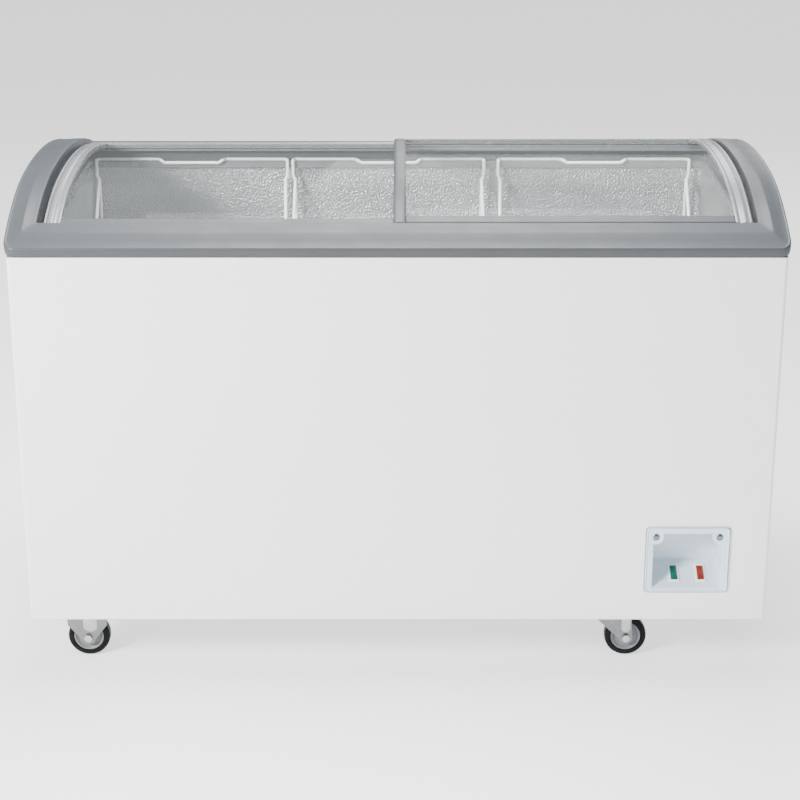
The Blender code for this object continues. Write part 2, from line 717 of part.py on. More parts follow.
def on_ramp(low, high, lamp_x):
    """A box given in the ramp's own axes: across, up the slope and out of it."""
    mesh = box_mesh("on_ramp", low, high)
    middle = (lamp_x, PANEL_FACE + RAMP_RUN / 2, POCKET_Z[0] + RAMP_RISE / 2)
    mesh.transform(Matrix.Translation(middle) @ Matrix.Rotation(RAMP_ANGLE, 4, "X"))
    return mesh


def boss_outline(x, z, radius=0.014, steps=24):
    """A circle about the screw, held inside the pocket's outer walls."""
    wall, outline = 0.0025, []
    for step in range(steps):
        angle = math.tau * step / steps
        across = min(max(x + radius * math.cos(angle), POCKET_X[0] - wall), POCKET_X[1] + wall)
        outline.append((across, min(z + radius * math.sin(angle), POCKET_Z[1] + wall)))
    return outline


def make_control_panel():
    """Screwed bezel with a deep pocket, two lamps on its sloping floor, and their lenses."""
    low, high = (PANEL_X[0], PANEL_FACE, PANEL_Z[0]), (PANEL_X[1], -BODY_Y - GAP, PANEL_Z[1])
    bezel = part("panel_bezel", box_mesh("panel_bezel", low, high), "panel_plastic")
    wall = 0.003 - GAP
    low = (POCKET_X[0] - wall, PANEL_FACE + 0.0005, POCKET_Z[0] - wall)
    high = (POCKET_X[1] + wall, -BODY_Y + POCKET_DEPTH + wall, POCKET_Z[1] + wall)
    joined(bezel, box_mesh("pocket_walls", low, high))
    deep, out = -BODY_Y + POCKET_DEPTH, PANEL_FACE - 0.01
    mouth = [(out, POCKET_Z[0]), (PANEL_FACE, POCKET_Z[0]), (deep, RAMP_TOP)]
    mouth += [(deep, POCKET_Z[1]), (out, POCKET_Z[1])]
    cut(bezel, flat_mesh("pocket", mouth, *POCKET_X, FACING_X))
    for name, x in SCREW_X.items():
        add_screw(bezel, name, x)
    for colour, x in LAMP_X.items():
        add_lamp(bezel, colour, x)


def add_screw(bezel, name, x):
    """Boss with a well in the bezel, and the domed screw in it."""
    face = (x, PANEL_FACE, SCREW_Z)
    depths = (PANEL_FACE + 0.0002, PANEL_FACE + 0.010)
    joined(bezel, flat_mesh("boss", boss_outline(x, SCREW_Z), *depths, FACING_Y))
    well = [(0, -0.001), (0.0060, -0.001), (0.0060, 0.003), (0, 0.003)]
    cut(bezel, turned_mesh("well", well, (0, 1, 0), face, 16))
    head = [(0, -0.0012), (0.003, -0.0008), (0.0055, 0.0006), (0.0055, 0.0024), (0, 0.0024)]
    smooth(part(f"panel_screw_{name}", turned_mesh("screw", head, (0, 1, 0), face, 16), "bright_zinc"))


def add_lamp(bezel, colour, x):
    """Lamp body with a flange, through the ramp, and the lens that stands proud of it."""
    cut(bezel, on_ramp((-0.0080, -0.0170, -0.013), (0.0080, 0.0170, 0.02), x))
    shank = on_ramp((-0.0077, -0.0167, -0.012), (0.0077, 0.0167, 0.001), x)
    body = part(f"lamp_body_{colour}", shank, "lamp_white")
    joined(body, on_ramp((-0.0095, -0.0200, 0.0004), (0.0095, 0.0200, 0.0020), x))
    cut(body, on_ramp((-0.0058, -0.0153, 0.0005), (0.0058, 0.0153, 0.02), x))
    block = on_ramp((-0.0055, -0.0150, 0.0008), (0.0055, 0.0150, 0.0050), x)
    bevelled(part(f"lamp_lens_{colour}", block, f"{colour}_lens"), 0.0008, 1)


# ---------------------------------------------------------------- machine room

def make_grilles():
    """Slotted plates over the machine room, on the right side and at the back."""
    proud = VENT_THICKNESS / 2
    low = (BODY_X - proud, GRILLE_Y[0], GRILLE_Z[0])
    high = (BODY_X + proud, GRILLE_Y[1], GRILLE_Z[1])
    grille = part("side_grille", box_mesh("side_grille", low, high), "grey_plastic")
    low = (COVER_X[0], BODY_Y - proud, COVER_Z[0])
    high = (COVER_X[1], BODY_Y + proud, COVER_Z[1])
    cover = part("rear_cover", box_mesh("rear_cover", low, high), "grey_plastic")
    for index in range(VENT_SLOTS):
        base = GRILLE_Z[0] + VENT_BORDER + 0.0015 + index * SLOT_PITCH
        top = base + SLOT_HEIGHT
        low, high = (0.5, GRILLE_Y[0] + VENT_BORDER, base), (0.7, GRILLE_Y[1] - VENT_BORDER, top)
        cut(grille, box_mesh("slot", low, high))
        low, high = (COVER_X[0] + VENT_BORDER, 0.3, base), (COVER_X[1] - VENT_BORDER, 0.4, top)
        cut(cover, box_mesh("slot", low, high))


def make_refrigeration():
    """Compressor on its plate, filter drier and thermostat."""
    floor = BODY_BOTTOM + 0.0016
    low, high = (ROOM_X + 0.012, -0.08, floor), (0.600, 0.22, floor + 0.004)
    plate = part("compressor_plate", box_mesh("compressor_plate", low, high), "galvanised_steel")
    bevelled(plate, 0.001, 1)
    base = floor + 0.004 + GAP
    shell = [(0, 0), (0.058, 0), (0.058, 0.012), (0.070, 0.030), (0.074, 0.055), (0.074, 0.078)]
    shell += [(0.078, 0.080), (0.078, 0.088), (0.074, 0.090), (0.072, 0.120), (0.060, 0.148)]
    shell += [(0.035, 0.163), (0, 0.168)]
    across, along = COMPRESSOR_AT
    can = turned_mesh("compressor", shell, (0, 0, 1), (across, along, base), 16)
    low = (across - 0.085, along - 0.050, base + 0.001)
    high = (across + 0.085, along + 0.050, base + 0.006)
    smooth(joined(part("compressor", can, "black_enamel"), box_mesh("feet", low, high)))
    drier = [(0, 0), (0.003, 0), (0.003, 0.010), (0.010, 0.022), (0.010, 0.100), (0.003, 0.112)]
    drier += [(0.003, 0.124), (0, 0.124)]
    mesh = turned_mesh("filter_drier", drier, (0, 1, 0), (0.545, -0.24, 0.25), 12)
    smooth(part("filter_drier", mesh, "copper"))
    low, high = (0.405, -0.27, 0.29), (0.455, -0.21, 0.34)
    bevelled(part("thermostat", box_mesh("thermostat", low, high), "lamp_white"), 0.003, 1)


def make_condenser():
    """Serpentine tube behind the side grille."""
    points = []
    passes, first, rise, left, right, bend = 7, 0.160, 0.026, -0.225, 0.245, 0.008
    for index in range(passes):
        z = first + rise * index
        start, end, inward = (left, right, bend) if index % 2 == 0 else (right, left, -bend)
        points += [(CONDENSER_X, start + inward, z), (CONDENSER_X, end - inward, z)]
        if index < passes - 1:
            points.append((CONDENSER_X, end, z + rise / 2))
    smooth(part("condenser_coil", wire_mesh("condenser_coil", points, 0.003), "black_enamel"), 60)


def make_small_fittings():
    """Drain plug in the tub's floor, and the bush where a supply lead would enter."""
    plug = [(0, 0), (0.014, 0), (0.016, 0.003), (0.016, 0.005), (0.005, 0.006), (0.005, 0.014), (0, 0.014)]
    mesh = turned_mesh("drain_plug", plug, (0, 0, 1), (-0.500, -0.200, TUB_FLOOR + GAP), 16)
    smooth(part("drain_plug", mesh, "grey_nylon"))
    bush = [(0.0045, 0), (0.0070, 0), (0.0070, 0.0113), (0.0110, 0.0113), (0.0100, 0.0145), (0.0045, 0.0145)]
    centre = (GLAND_AT[0], BODY_Y - 0.0110, GLAND_AT[1])
    mesh = turned_mesh("cable_bush", bush, (0, 1, 0), centre, 16, closed=True)
    smooth(part("cable_bush", mesh, "black_rubber"))


# ---------------------------------------------------------------- castors


def leg_outline(top_left, top_right, top, waist, axle_x, foot):
    """A fork leg seen from the side: straight down to the waist, then to a round foot on the axle."""
    outline = [(top_left, top), (top_left, waist)]
    for step in range(9):
        angle = math.radians(200 + 140 * step / 8)
        outline.append((axle_x + foot * math.cos(angle), WHEEL_RADIUS + foot * math.sin(angle)))
    return outline + [(top_right, waist), (top_right, top)]


def make_wheel(name, x, y):
    """Tyre, hub and axle bolt. The axle runs along Y."""
    half, bore = WHEEL_WIDTH / 2, AXLE_RADIUS + GAP
    centre = (x, y, WHEEL_RADIUS)
    inner = HUB_RADIUS + GAP
    tread = [(inner, -half), (WHEEL_RADIUS - 0.003, -half), (WHEEL_RADIUS, -half + 0.005)]
    tread += [(radius, -height) for radius, height in tread[::-1]]
    mesh = turned_mesh(f"{name}_tyre", tread, (0, 1, 0), centre, 24, closed=True)
    tyre = smooth(part(f"{name}_tyre", mesh, "black_rubber"))
    hub = [(bore, -0.0140), (0.009, -0.0140), (0.010, -0.0100), (HUB_RADIUS, -0.0110)]
    hub += [(radius, -height) for radius, height in hub[::-1]]
    mesh = turned_mesh(f"{name}_hub", hub, (0, 1, 0), centre, 16, closed=True)
    hub = smooth(part(f"{name}_hub", mesh, "grey_nylon"))
    pivot(f"{name}_roll", centre, tyre, hub)
    reach, head = LEG_INNER + LEG_SHEET, 0.0075
    bolt = [(0, -reach - 0.005), (head, -reach - 0.005), (head, -reach - GAP), (AXLE_RADIUS, -reach - GAP)]
    bolt += [(AXLE_RADIUS, reach + GAP), (head, reach + GAP), (head, reach + 0.005), (0, reach + 0.005)]
    return part(f"{name}_axle", turned_mesh(f"{name}_axle", bolt, (0, 1, 0), centre, 8), "bright_zinc")


def legs_on(obj, outline, x, y):
    """Joins a pair of fork legs to the object, then drills them for the axle."""
    for side in (-1, 1):
        span = sorted((y + side * LEG_INNER, y + side * (LEG_INNER + LEG_SHEET)))
        joined(obj, flat_mesh(f"leg_{side}", outline, *span, FACING_Y))
    start = (x, y - 0.04, WHEEL_RADIUS)
    cut(obj, turned_mesh("axle_hole", rod_profile(AXLE_RADIUS + GAP, 0.08), (0, 1, 0), start, 8))


def plate_mesh(name, x, y):
    """Mounting plate under the base pan."""
    low = (x - PLATE_SIZE[0] / 2, y - PLATE_SIZE[1] / 2, CASTOR_TOP - PLATE_SIZE[2])
    high = (x + PLATE_SIZE[0] / 2, y + PLATE_SIZE[1] / 2, CASTOR_TOP)
    return box_mesh(name, low, high)


def make_fixed_castor(name, y):
    """Rigid castor: a flat plate with two legs straight down."""
    bracket = part(f"{name}_bracket", plate_mesh(f"{name}_bracket", FIXED_X, y), "bright_zinc")
    outline = leg_outline(FIXED_X - 0.036, FIXED_X + 0.034, CASTOR_TOP - 0.001, 0.062, FIXED_X, 0.013)
    legs_on(bracket, outline, FIXED_X, y)
    make_wheel(name, FIXED_X, y)


def make_swivel_castor(name, y):
    """Swivel castor: a plate with its race and king pin, and a fork that trails the wheel to the right."""
    plate = part(f"{name}_plate", plate_mesh(f"{name}_plate", SWIVEL_X, y), "bright_zinc")
    race = [(0, 0.083), (0.009, 0.083), (0.009, 0.0862), (0.0055, 0.0862), (0.0055, 0.0955), (0.024, 0.0955)]
    race += [(0.026, 0.1045), (0.026, 0.1070), (0, 0.1070)]
    smooth(joined(plate, turned_mesh("race", race, (0, 0, 1), (SWIVEL_X, y, 0), 16)))
    crown = [(0.0060, 0.0866), (0.026, 0.0866), (0.029, 0.0900), (0.029, 0.0950)]
    crown += [(0.0250, 0.0950), (0.0235, 0.0910), (0.0060, 0.0910)]
    mesh = turned_mesh(f"{name}_fork", crown, (0, 0, 1), (SWIVEL_X, y, 0), 16, closed=True)
    fork = part(f"{name}_fork", mesh, "bright_zinc")
    wheel_x = SWIVEL_X + TRAIL
    outline = leg_outline(SWIVEL_X - 0.024, wheel_x + 0.0095, 0.0885, 0.070, wheel_x, 0.012)
    outline[1:2] = [(SWIVEL_X - 0.026, 0.078)]
    legs_on(fork, outline, wheel_x, y)
    axle = make_wheel(name, wheel_x, y)
    pivot(f"{name}_swivel", (SWIVEL_X, y, SWIVEL_Z), smooth(fork), axle)


def build():
    make_front_panel()
    make_sheets()
    make_bottom_tray()
    make_liner()
    make_insulation()
    make_room_wall()
    make_evaporator()
    make_top_frame()
    make_ledge()
    make_tracks()
    left_end = (-LID_END_X, -LID_END_X + END_TRIM)
    right_end = (LID_END_X - END_TRIM, LID_END_X)
    make_lid("left", LOWER_GLASS, LOWER_TRIM, LOWER_DEPTHS, (left_end, LOWER_CENTRE_TRIM))
    make_lid("right", UPPER_GLASS, UPPER_TRIM, UPPER_DEPTHS, (right_end, CENTRE_BAR))
    make_baskets()
    make_control_panel()
    make_grilles()
    make_refrigeration()
    make_condenser()
    make_small_fittings()
    for place, y in (("front", -CASTOR_Y), ("rear", CASTOR_Y)):
        make_fixed_castor(f"castor_{place}_left", y)
        make_swivel_castor(f"castor_{place}_right", y)


build()
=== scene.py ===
"""Looks of the chest freezer: smooth shells, trims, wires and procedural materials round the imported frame.

Metres, in the frame's own axes: +Z up, +X to the right, -Y towards the customer, origin on the floor.
"""

import json
import math

import bmesh
import bpy
from mathutils import Matrix, Vector


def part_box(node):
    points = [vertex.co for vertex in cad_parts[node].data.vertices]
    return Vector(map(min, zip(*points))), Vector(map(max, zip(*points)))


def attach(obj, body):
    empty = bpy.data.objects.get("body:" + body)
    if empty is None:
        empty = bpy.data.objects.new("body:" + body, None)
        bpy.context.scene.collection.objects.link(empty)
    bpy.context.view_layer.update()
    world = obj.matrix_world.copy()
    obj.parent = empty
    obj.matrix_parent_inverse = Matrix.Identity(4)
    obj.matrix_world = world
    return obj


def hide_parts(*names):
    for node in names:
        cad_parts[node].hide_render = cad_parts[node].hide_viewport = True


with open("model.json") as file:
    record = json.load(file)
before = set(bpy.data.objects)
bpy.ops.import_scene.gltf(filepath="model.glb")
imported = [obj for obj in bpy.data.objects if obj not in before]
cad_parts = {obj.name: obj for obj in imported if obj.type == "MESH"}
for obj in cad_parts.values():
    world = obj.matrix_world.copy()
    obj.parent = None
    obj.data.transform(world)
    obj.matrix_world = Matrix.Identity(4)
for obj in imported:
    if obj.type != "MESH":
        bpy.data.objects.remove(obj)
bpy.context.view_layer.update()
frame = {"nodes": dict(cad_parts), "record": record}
NODES = frame["nodes"]

GAP = 0.0003
FRAME_LOW, FRAME_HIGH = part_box("top_frame")
FRONT, BACK = FRAME_LOW.y, FRAME_HIGH.y
PANEL_LOW, PANEL_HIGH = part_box("front_panel")
TUB_LOW, TUB_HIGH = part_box("liner")

# The crown that the frame and both lids follow: a tight arc at the front that runs into a flat one
REAR_RADIUS, FRONT_RADIUS, CROWN_JOIN = 1.2, 0.5, math.radians(5.96)
REAR_CENTRE = ((FRONT + BACK) / 2 - FRONT, FRAME_HIGH.z - REAR_RADIUS)
FRONT_CENTRE = (
    REAR_CENTRE[0] - (REAR_RADIUS - FRONT_RADIUS) * math.sin(CROWN_JOIN),
    REAR_CENTRE[1] + (REAR_RADIUS - FRONT_RADIUS) * math.cos(CROWN_JOIN),
)


# ---------------------------------------------------------------- materials


class Shader:
    """A Principled material whose colour, roughness and bump come from procedural textures."""

    def __init__(self, name, colour, roughness, metallic=0.0, **sockets):
        self.material = bpy.data.materials.new(name)
        self.material.use_nodes = True
        self.nodes = self.material.node_tree.nodes
        self.links = self.material.node_tree.links
        self.principled = self.nodes["Principled BSDF"]
        self.colour, self.normal = (*colour, 1.0), None
        self.set("Base Color", self.colour)
        self.set("Roughness", roughness)
        self.set("Metallic", metallic)
        for socket, value in sockets.items():
            self.set(socket.replace("_", " "), value)
        self.place = self.nodes.new("ShaderNodeTexCoord").outputs["Object"]

    def set(self, socket, value):
        self.principled.inputs[socket].default_value = value

    def node(self, kind, **inputs):
        made = self.nodes.new("ShaderNode" + kind)
        for name, value in inputs.items():
            socket = made.inputs[name.replace("_", " ")]
            if isinstance(value, bpy.types.NodeSocket):
                self.links.new(value, socket)
            else:
                socket.default_value = value
        return made

    def noise(self, scale, detail=3.0, stretch=(1, 1, 1)):
        where = self.node("Mapping", Vector=self.place, Scale=stretch).outputs["Vector"]
        return self.node("TexNoise", Vector=where, Scale=scale, Detail=detail).outputs["Fac"]

    def cells(self, scale, feature="F1"):
        texture = self.node("TexVoronoi", Vector=self.place, Scale=scale)
        texture.feature = feature
        return texture

    def ranged(self, value, low, high, start=0.3, end=0.7):
        made = self.node("MapRange", Value=value)
        for name, number in (("From Min", start), ("From Max", end), ("To Min", low), ("To Max", high)):
            made.inputs[name].default_value = number
        return made.outputs["Result"]

    def tint(self, value, dark, light, start=0.3, end=0.7):
        """Base colour between two tints, by a texture."""
        ramp = self.node("ValToRGB", Fac=value)
        ramp.color_ramp.elements[0].position, ramp.color_ramp.elements[1].position = start, end
        ramp.color_ramp.elements[0].color, ramp.color_ramp.elements[1].color = (*dark, 1), (*light, 1)
        self.links.new(ramp.outputs["Color"], self.principled.inputs["Base Color"])
        return self

    def rough(self, value, low, high, start=0.3, end=0.7):
        self.links.new(self.ranged(value, low, high, start, end), self.principled.inputs["Roughness"])
        return self

    def bump(self, height, distance, strength=1.0):
        made = self.node("Bump", Height=height, Distance=distance, Strength=strength)
        if self.normal is not None:
            self.links.new(self.normal, made.inputs["Normal"])
        self.normal = made.outputs["Normal"]
        self.links.new(self.normal, self.principled.inputs["Normal"])
        return self


def shaded(colour, share):
    return tuple(channel * share for channel in colour)


def enamel():
    """Baked white enamel: faint orange peel and a little unevenness in the gloss."""
    white = (0.83, 0.838, 0.845)
    made = Shader("white_enamel", white, 0.24, Coat_Weight=0.25, Coat_Roughness=0.08)
    made.tint(made.noise(3.0), shaded(white, 0.985), white)
    made.rough(made.noise(9.0), 0.20, 0.30)
    return made.bump(made.noise(420.0, 2.0), 0.00006, 0.35).material


def moulded(name, colour, low, high, grain=1100.0, depth=0.00005, shine=0.5):
    """Moulded plastic with a fine grain, slightly uneven in tone and gloss."""
    made = Shader(name, colour, low, Specular_IOR_Level=shine)
    made.tint(made.noise(14.0, 5.0), shaded(colour, 0.95), shaded(colour, 1.04))
    made.rough(made.noise(24.0), low, high)
    return made.bump(made.noise(grain, 2.0), depth, 0.6).material


def embossed_aluminium():
    """Stucco-embossed sheet: small raised pebbles on a slightly wavy bright face."""
    bright = (0.46, 0.472, 0.485)
    made = Shader("embossed_aluminium", bright, 0.3, 0.75)
    warped = made.node("VectorMath", Vector=made.place)
    warped.operation = "ADD"
    wander = made.node("TexNoise", Vector=made.place, Scale=200.0, Detail=2.0)
    shrink = made.node("VectorMath", Vector=wander.outputs["Color"])
    shrink.operation = "SCALE"
    shrink.inputs["Scale"].default_value = 0.0022
    made.links.new(shrink.outputs["Vector"], warped.inputs[1])
    pebbles = made.node("TexVoronoi", Vector=warped.outputs["Vector"], Scale=300.0)
    pebbles.feature = "SMOOTH_F1"
    height = made.ranged(pebbles.outputs["Distance"], 1.0, 0.0, 0.05, 0.6)
    made.tint(made.noise(9.0, 2.0), shaded(bright, 0.90), bright, 0.35, 0.65)
    made.rough(made.noise(35.0), 0.36, 0.46)
    made.bump(height, 0.0020, 1.0)
    return made.bump(made.noise(7.0, 1.0), 0.003, 0.12).material


def galvanised():
    made = Shader("galvanised_steel", (0.6, 0.61, 0.62), 0.4, 1.0)
    spangle = made.cells(70.0).outputs["Color"]
    made.tint(spangle, (0.50, 0.51, 0.52), (0.68, 0.69, 0.70), 0.1, 0.9)
    made.rough(made.noise(40.0), 0.34, 0.52)
    return made.bump(made.noise(90.0), 0.0001, 0.4).material


def plated(name, zinc):
    """Zinc plating: cloudy in tone, with fine rolling marks."""
    made = Shader(name, zinc, 0.28, 1.0)
    made.tint(made.noise(55.0, 5.0), shaded(zinc, 0.86), zinc)
    made.rough(made.noise(120.0, 4.0, (1, 1, 0.15)), 0.22, 0.38)
    return made.bump(made.noise(600.0, 3.0, (1, 1, 0.1)), 0.00004, 0.6).material


def chrome_painted_reflection():
    """Polished plating, slightly dulled, for the small domed screws, coloured dark blue to paint in the dark
    ring the domes reflect: painted reflection.
    """
    # Dark blue colour: painted reflection of the dark ring round each dome.
    tone = (0.15, 0.21, 0.26)
    made = Shader("chrome_painted_reflection", tone, 0.12, 1.0)
    made.tint(made.noise(300.0, 3.0), shaded(tone, 0.85), tone)
    return made.rough(made.noise(500.0), 0.10, 0.18).material


def copper():
    made = Shader("copper", (0.72, 0.42, 0.29), 0.3, 1.0)
    made.tint(made.noise(45.0, 5.0), (0.45, 0.24, 0.16), (0.78, 0.46, 0.32))
    return made.rough(made.noise(70.0), 0.24, 0.42).material


def enamelled(name, colour):
    made = Shader(name, colour, 0.35)
    made.rough(made.noise(60.0), 0.28, 0.45)
    return made.bump(made.noise(500.0, 2.0), 0.00008, 0.5).material


def rubber():
    """Glossy black tyre rubber with fine scuffs round the tread."""
    made = Shader("black_rubber", (0.006, 0.006, 0.007), 0.3, Specular_IOR_Level=0.08)
    made.tint(made.noise(80.0, 6.0), (0.004, 0.004, 0.0045), (0.010, 0.010, 0.011), 0.35, 0.75)
    made.rough(made.noise(110.0, 5.0), 0.18, 0.42)
    return made.bump(made.noise(700.0, 3.0), 0.0001, 0.4).material


def coated_wire():
    white = (0.96, 0.96, 0.95)
    made = Shader("white_wire", white, 0.28, Coat_Weight=0.3, Coat_Roughness=0.15)
    made.tint(made.noise(120.0), shaded(white, 0.94), white)
    return made.bump(made.noise(380.0, 2.0), 0.00012, 0.5).material


def foam():
    made = Shader("foam", (0.85, 0.78, 0.55), 0.9)
    return made.bump(made.cells(500.0).outputs["Distance"], 0.0006, 0.8).material


def glass():
    """Clear pane: nearly see-through face on, with more reflection where it is seen edge on."""
    made = Shader("glass", (0.32, 0.36, 0.355), 0.03, IOR=1.5)
    facing = made.node("LayerWeight", Blend=0.25).outputs["Facing"]
    smear = made.noise(4.0, 4.0)
    veil = made.node("Math", Value=made.ranged(facing, 0.008, 0.10, 0.0, 1.0))
    veil.operation = "ADD"
    made.links.new(made.ranged(smear, 0.0, 0.03), veil.inputs[1])
    made.links.new(veil.outputs["Value"], made.principled.inputs["Alpha"])
    return made.rough(smear, 0.02, 0.06).material


def lens(name, colour, glow):
    """Moulded lamp lens: deep colour under a clear skin, with fine ribs across."""
    made = Shader(name, colour, 0.12, Coat_Weight=0.2, Coat_Roughness=0.05, Emission_Strength=0.03,
                  Specular_IOR_Level=0.3)
    made.set("Emission Color", (*glow, 1.0))
    made.tint(made.noise(160.0, 3.0), shaded(colour, 0.75), colour)
    return made.bump(made.cells(700.0).outputs["Distance"], 0.0002, 0.35).material


FINISH = {
    "white_enamel": enamel(),
    "grey_plastic": moulded("grey_plastic", (0.050, 0.056, 0.062), 0.40, 0.50, shine=0.3),
    "pale_plastic": moulded("pale_plastic", (0.165, 0.176, 0.187), 0.20, 0.30),
    "embossed_aluminium": embossed_aluminium(),
    "galvanised_steel": galvanised(),
    # Zinc colour kept low so that the fork legs' flat faces read darker than their ribs: painted shade.
    "bright_zinc": plated("bright_zinc", (0.21, 0.214, 0.218)),
    # Bright steel for the axle bolts; on the fork legs' ribs its lighter colour is a painted highlight.
    "bolt_steel_and_rib_highlight": plated("bolt_steel_and_rib_highlight", (0.47, 0.475, 0.48)),
    # Screw heads: their dark blue colour is a painted reflection.
    "chrome_painted_reflection": chrome_painted_reflection(),
    "copper": copper(),
    "black_enamel": enamelled("black_enamel", (0.02, 0.02, 0.022)),
    "black_rubber": rubber(),
    "grey_nylon": moulded("grey_nylon", (0.12, 0.129, 0.138), 0.34, 0.46, 700.0, 0.0001),
    "white_wire": coated_wire(),
    "foam": foam(),
    "glass": glass(),
    "panel_plastic": moulded("panel_plastic", (0.60, 0.69, 0.76), 0.2, 0.3),
    "lamp_white": moulded("lamp_white", (0.84, 0.85, 0.85), 0.25, 0.35),
    "green_lens": lens("green_lens", (0.0, 0.085, 0.055), (0.0, 0.4, 0.25)),
    "red_lens": lens("red_lens", (0.20, 0.016, 0.004), (0.8, 0.08, 0.02)),
}


def finish_cad_nodes():
    """Gives every CAD node its procedural material, whether or not a smoother piece replaces it."""
    for row in frame["record"]["subparts"]:
        mesh = NODES[row["node"]].data
        mesh.materials.clear()
        mesh.materials.append(FINISH[row["material_slot"]])


# ---------------------------------------------------------------- shapes


def mesh_of(name, bm):
    bmesh.ops.remove_doubles(bm, verts=bm.verts, dist=0.000005)
    bmesh.ops.recalc_face_normals(bm, faces=bm.faces)
    mesh = bpy.data.meshes.new(name)
    bm.to_mesh(mesh)
    bm.free()
    return mesh


def piece(name, mesh, finish, body="root", replaces=(), sharp=35):
    """Links a finished mesh as a piece on a CAD body, with its material and the nodes it stands for."""
    obj = bpy.data.objects.new(name, mesh)
    bpy.context.scene.collection.objects.link(obj)
    mesh.materials.append(FINISH[finish])
    mesh.shade_smooth()
    mesh.set_sharp_from_angle(angle=math.radians(sharp))
    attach(obj, body)
    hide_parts(*replaces)
    return obj


def softened(obj, width, segments=3, angle=30):
    """Rounds the piece's edges."""
    bevel = obj.modifiers.new("rounded", "BEVEL")
    bevel.width, bevel.segments = width, segments
    bevel.limit_method, bevel.angle_limit = "ANGLE", math.radians(angle)
    bevel.harden_normals = False
    return obj


def box_mesh(name, low, high, matrix=None):
    bm = bmesh.new()
    bmesh.ops.create_cube(bm, size=1.0)
    low, high = Vector(low), Vector(high)
    bmesh.ops.scale(bm, vec=high - low, verts=bm.verts)
    bmesh.ops.translate(bm, vec=(high + low) / 2, verts=bm.verts)
    if matrix:
        bm.transform(matrix)
    return mesh_of(name, bm)


def rounded(points, radius, steps=5, closed=True):
    """Rounds each corner of a flat or spatial polyline, less where a side is short."""
    points = [Vector(point) for point in points]
    result = []
    for index, corner in enumerate(points):
        back = points[index - 1] - corner
        on = points[(index + 1) % len(points)] - corner
        half = back.angle(on, math.pi) / 2
        if (not closed and index in (0, len(points) - 1)) or half > math.radians(88):
            result.append(corner)
            continue
        reach = min(radius / math.tan(half), 0.49 * back.length, 0.49 * on.length)
        curve = reach * math.tan(half)
        back, on = back.normalized(), on.normalized()
        centre = corner + (back + on).normalized() * curve / math.sin(half)
        start, end = corner + back * reach - centre, corner + on * reach - centre
        for step in range(steps + 1):
            result.append(centre + start.slerp(end, step / steps).normalized() * curve)
    return result


PLACES = {
    "X": lambda a, b, along: (along, a, b),
    "Y": lambda a, b, along: (a, along, b),
    "Z": lambda a, b, along: (a, b, along),
}


def prism(name, outline, start, end, axis, matrix=None):
    """A flat outline of (across, up) points, extruded along an axis."""
    bm = bmesh.new()
    ends = [[bm.verts.new(PLACES[axis](a, b, along)) for a, b in outline] for along in (start, end)]
    bm.faces.new(ends[0])
    bm.faces.new(ends[1])
    for index in range(len(outline)):
        following = (index + 1) % len(outline)
        bm.faces.new((ends[0][index], ends[0][following], ends[1][following], ends[1][index]))
    if matrix:
        bm.transform(matrix)
    return mesh_of(name, bm)


def turned(name, profile, axis, centre, steps=48, closed=False):
    """A (radius, height) profile turned once round an axis."""
    bm = bmesh.new()
    points = [bm.verts.new((radius, 0, height)) for radius, height in profile]
    for first, second in zip(points, points[1:] + points[:1] if closed else points[1:]):
        bm.edges.new((first, second))
    bmesh.ops.spin(
        bm, geom=bm.verts[:] + bm.edges[:], cent=(0, 0, 0), axis=(0, 0, 1),
        angle=math.tau, steps=steps, use_merge=True)
    turn = Vector((0, 0, 1)).rotation_difference(Vector(axis)).to_matrix().to_4x4()
    bm.transform(Matrix.Translation(centre) @ turn)
    return mesh_of(name, bm)


def lofted(name, loops, capped=False):
    """Joins equal loops of points in a row, then closes it with caps, or on to the first loop."""
    bm = bmesh.new()
    rows = [[bm.verts.new(point) for point in loop] for loop in loops]
    if capped:
        bm.faces.new(rows[0])
        bm.faces.new(rows[-1])
    pairs = zip(rows, rows[1:] if capped else rows[1:] + rows[:1])
    for first, second in pairs:
        for index in range(len(first)):
            following = (index + 1) % len(first)
            bm.faces.new((first[index], first[following], second[following], second[index]))
    return mesh_of(name, bm)


def baked(name, mesh, *steps):
    """The mesh after a row of Booleans, each an (operation, mesh) pair."""
    helpers = [bpy.data.objects.new("helper", shape) for shape in (mesh, *(shape for _, shape in steps))]
    for helper in helpers:
        bpy.context.scene.collection.objects.link(helper)
    for (operation, _), helper in zip(steps, helpers[1:]):
        boolean = helpers[0].modifiers.new(operation, "BOOLEAN")
        boolean.operation, boolean.solver, boolean.object = operation, "EXACT", helper
    bpy.context.view_layer.update()
    graph = bpy.context.evaluated_depsgraph_get()
    result = bpy.data.meshes.new_from_object(helpers[0].evaluated_get(graph))
    result.name = name
    result.materials.clear()
    for helper in helpers:
        bpy.data.objects.remove(helper, do_unlink=True)
    return result


def wires(name, paths, finish, body, replaces=(), sides=4):
    """One curve piece of round wires, each given as (points, radius, closed)."""
    curve = bpy.data.curves.new(name, "CURVE")
    curve.dimensions = "3D"
    curve.bevel_depth = 1.0
    curve.bevel_resolution = sides
    curve.use_fill_caps = True
    for points, radius, closed in paths:
        spline = curve.splines.new("POLY")
        spline.points.add(len(points) - 1)
        for made, point in zip(spline.points, points):
            made.co, made.radius = (*point, 1), radius
        spline.use_cyclic_u = closed
        spline.use_smooth = True
    curve.materials.append(FINISH[finish])
    obj = bpy.data.objects.new(name, curve)
    bpy.context.scene.collection.objects.link(obj)
    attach(obj, body)
    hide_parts(*replaces)
    return obj


# ---------------------------------------------------------------- crown


def crown_point(depth, inset=0.0):
    """(y, z) on the crown moved in by inset, at a depth behind the frame's front face."""
    for (centre_depth, centre_z), radius in (
        (FRONT_CENTRE, FRONT_RADIUS - inset),
        (REAR_CENTRE, REAR_RADIUS - inset),
    ):
        lean = math.asin((centre_depth - depth) / radius)
        if lean >= CROWN_JOIN:
            break
    return FRONT + depth, centre_z + radius * math.cos(lean)


def crown_height(y):
    return crown_point(y - FRONT)[1]


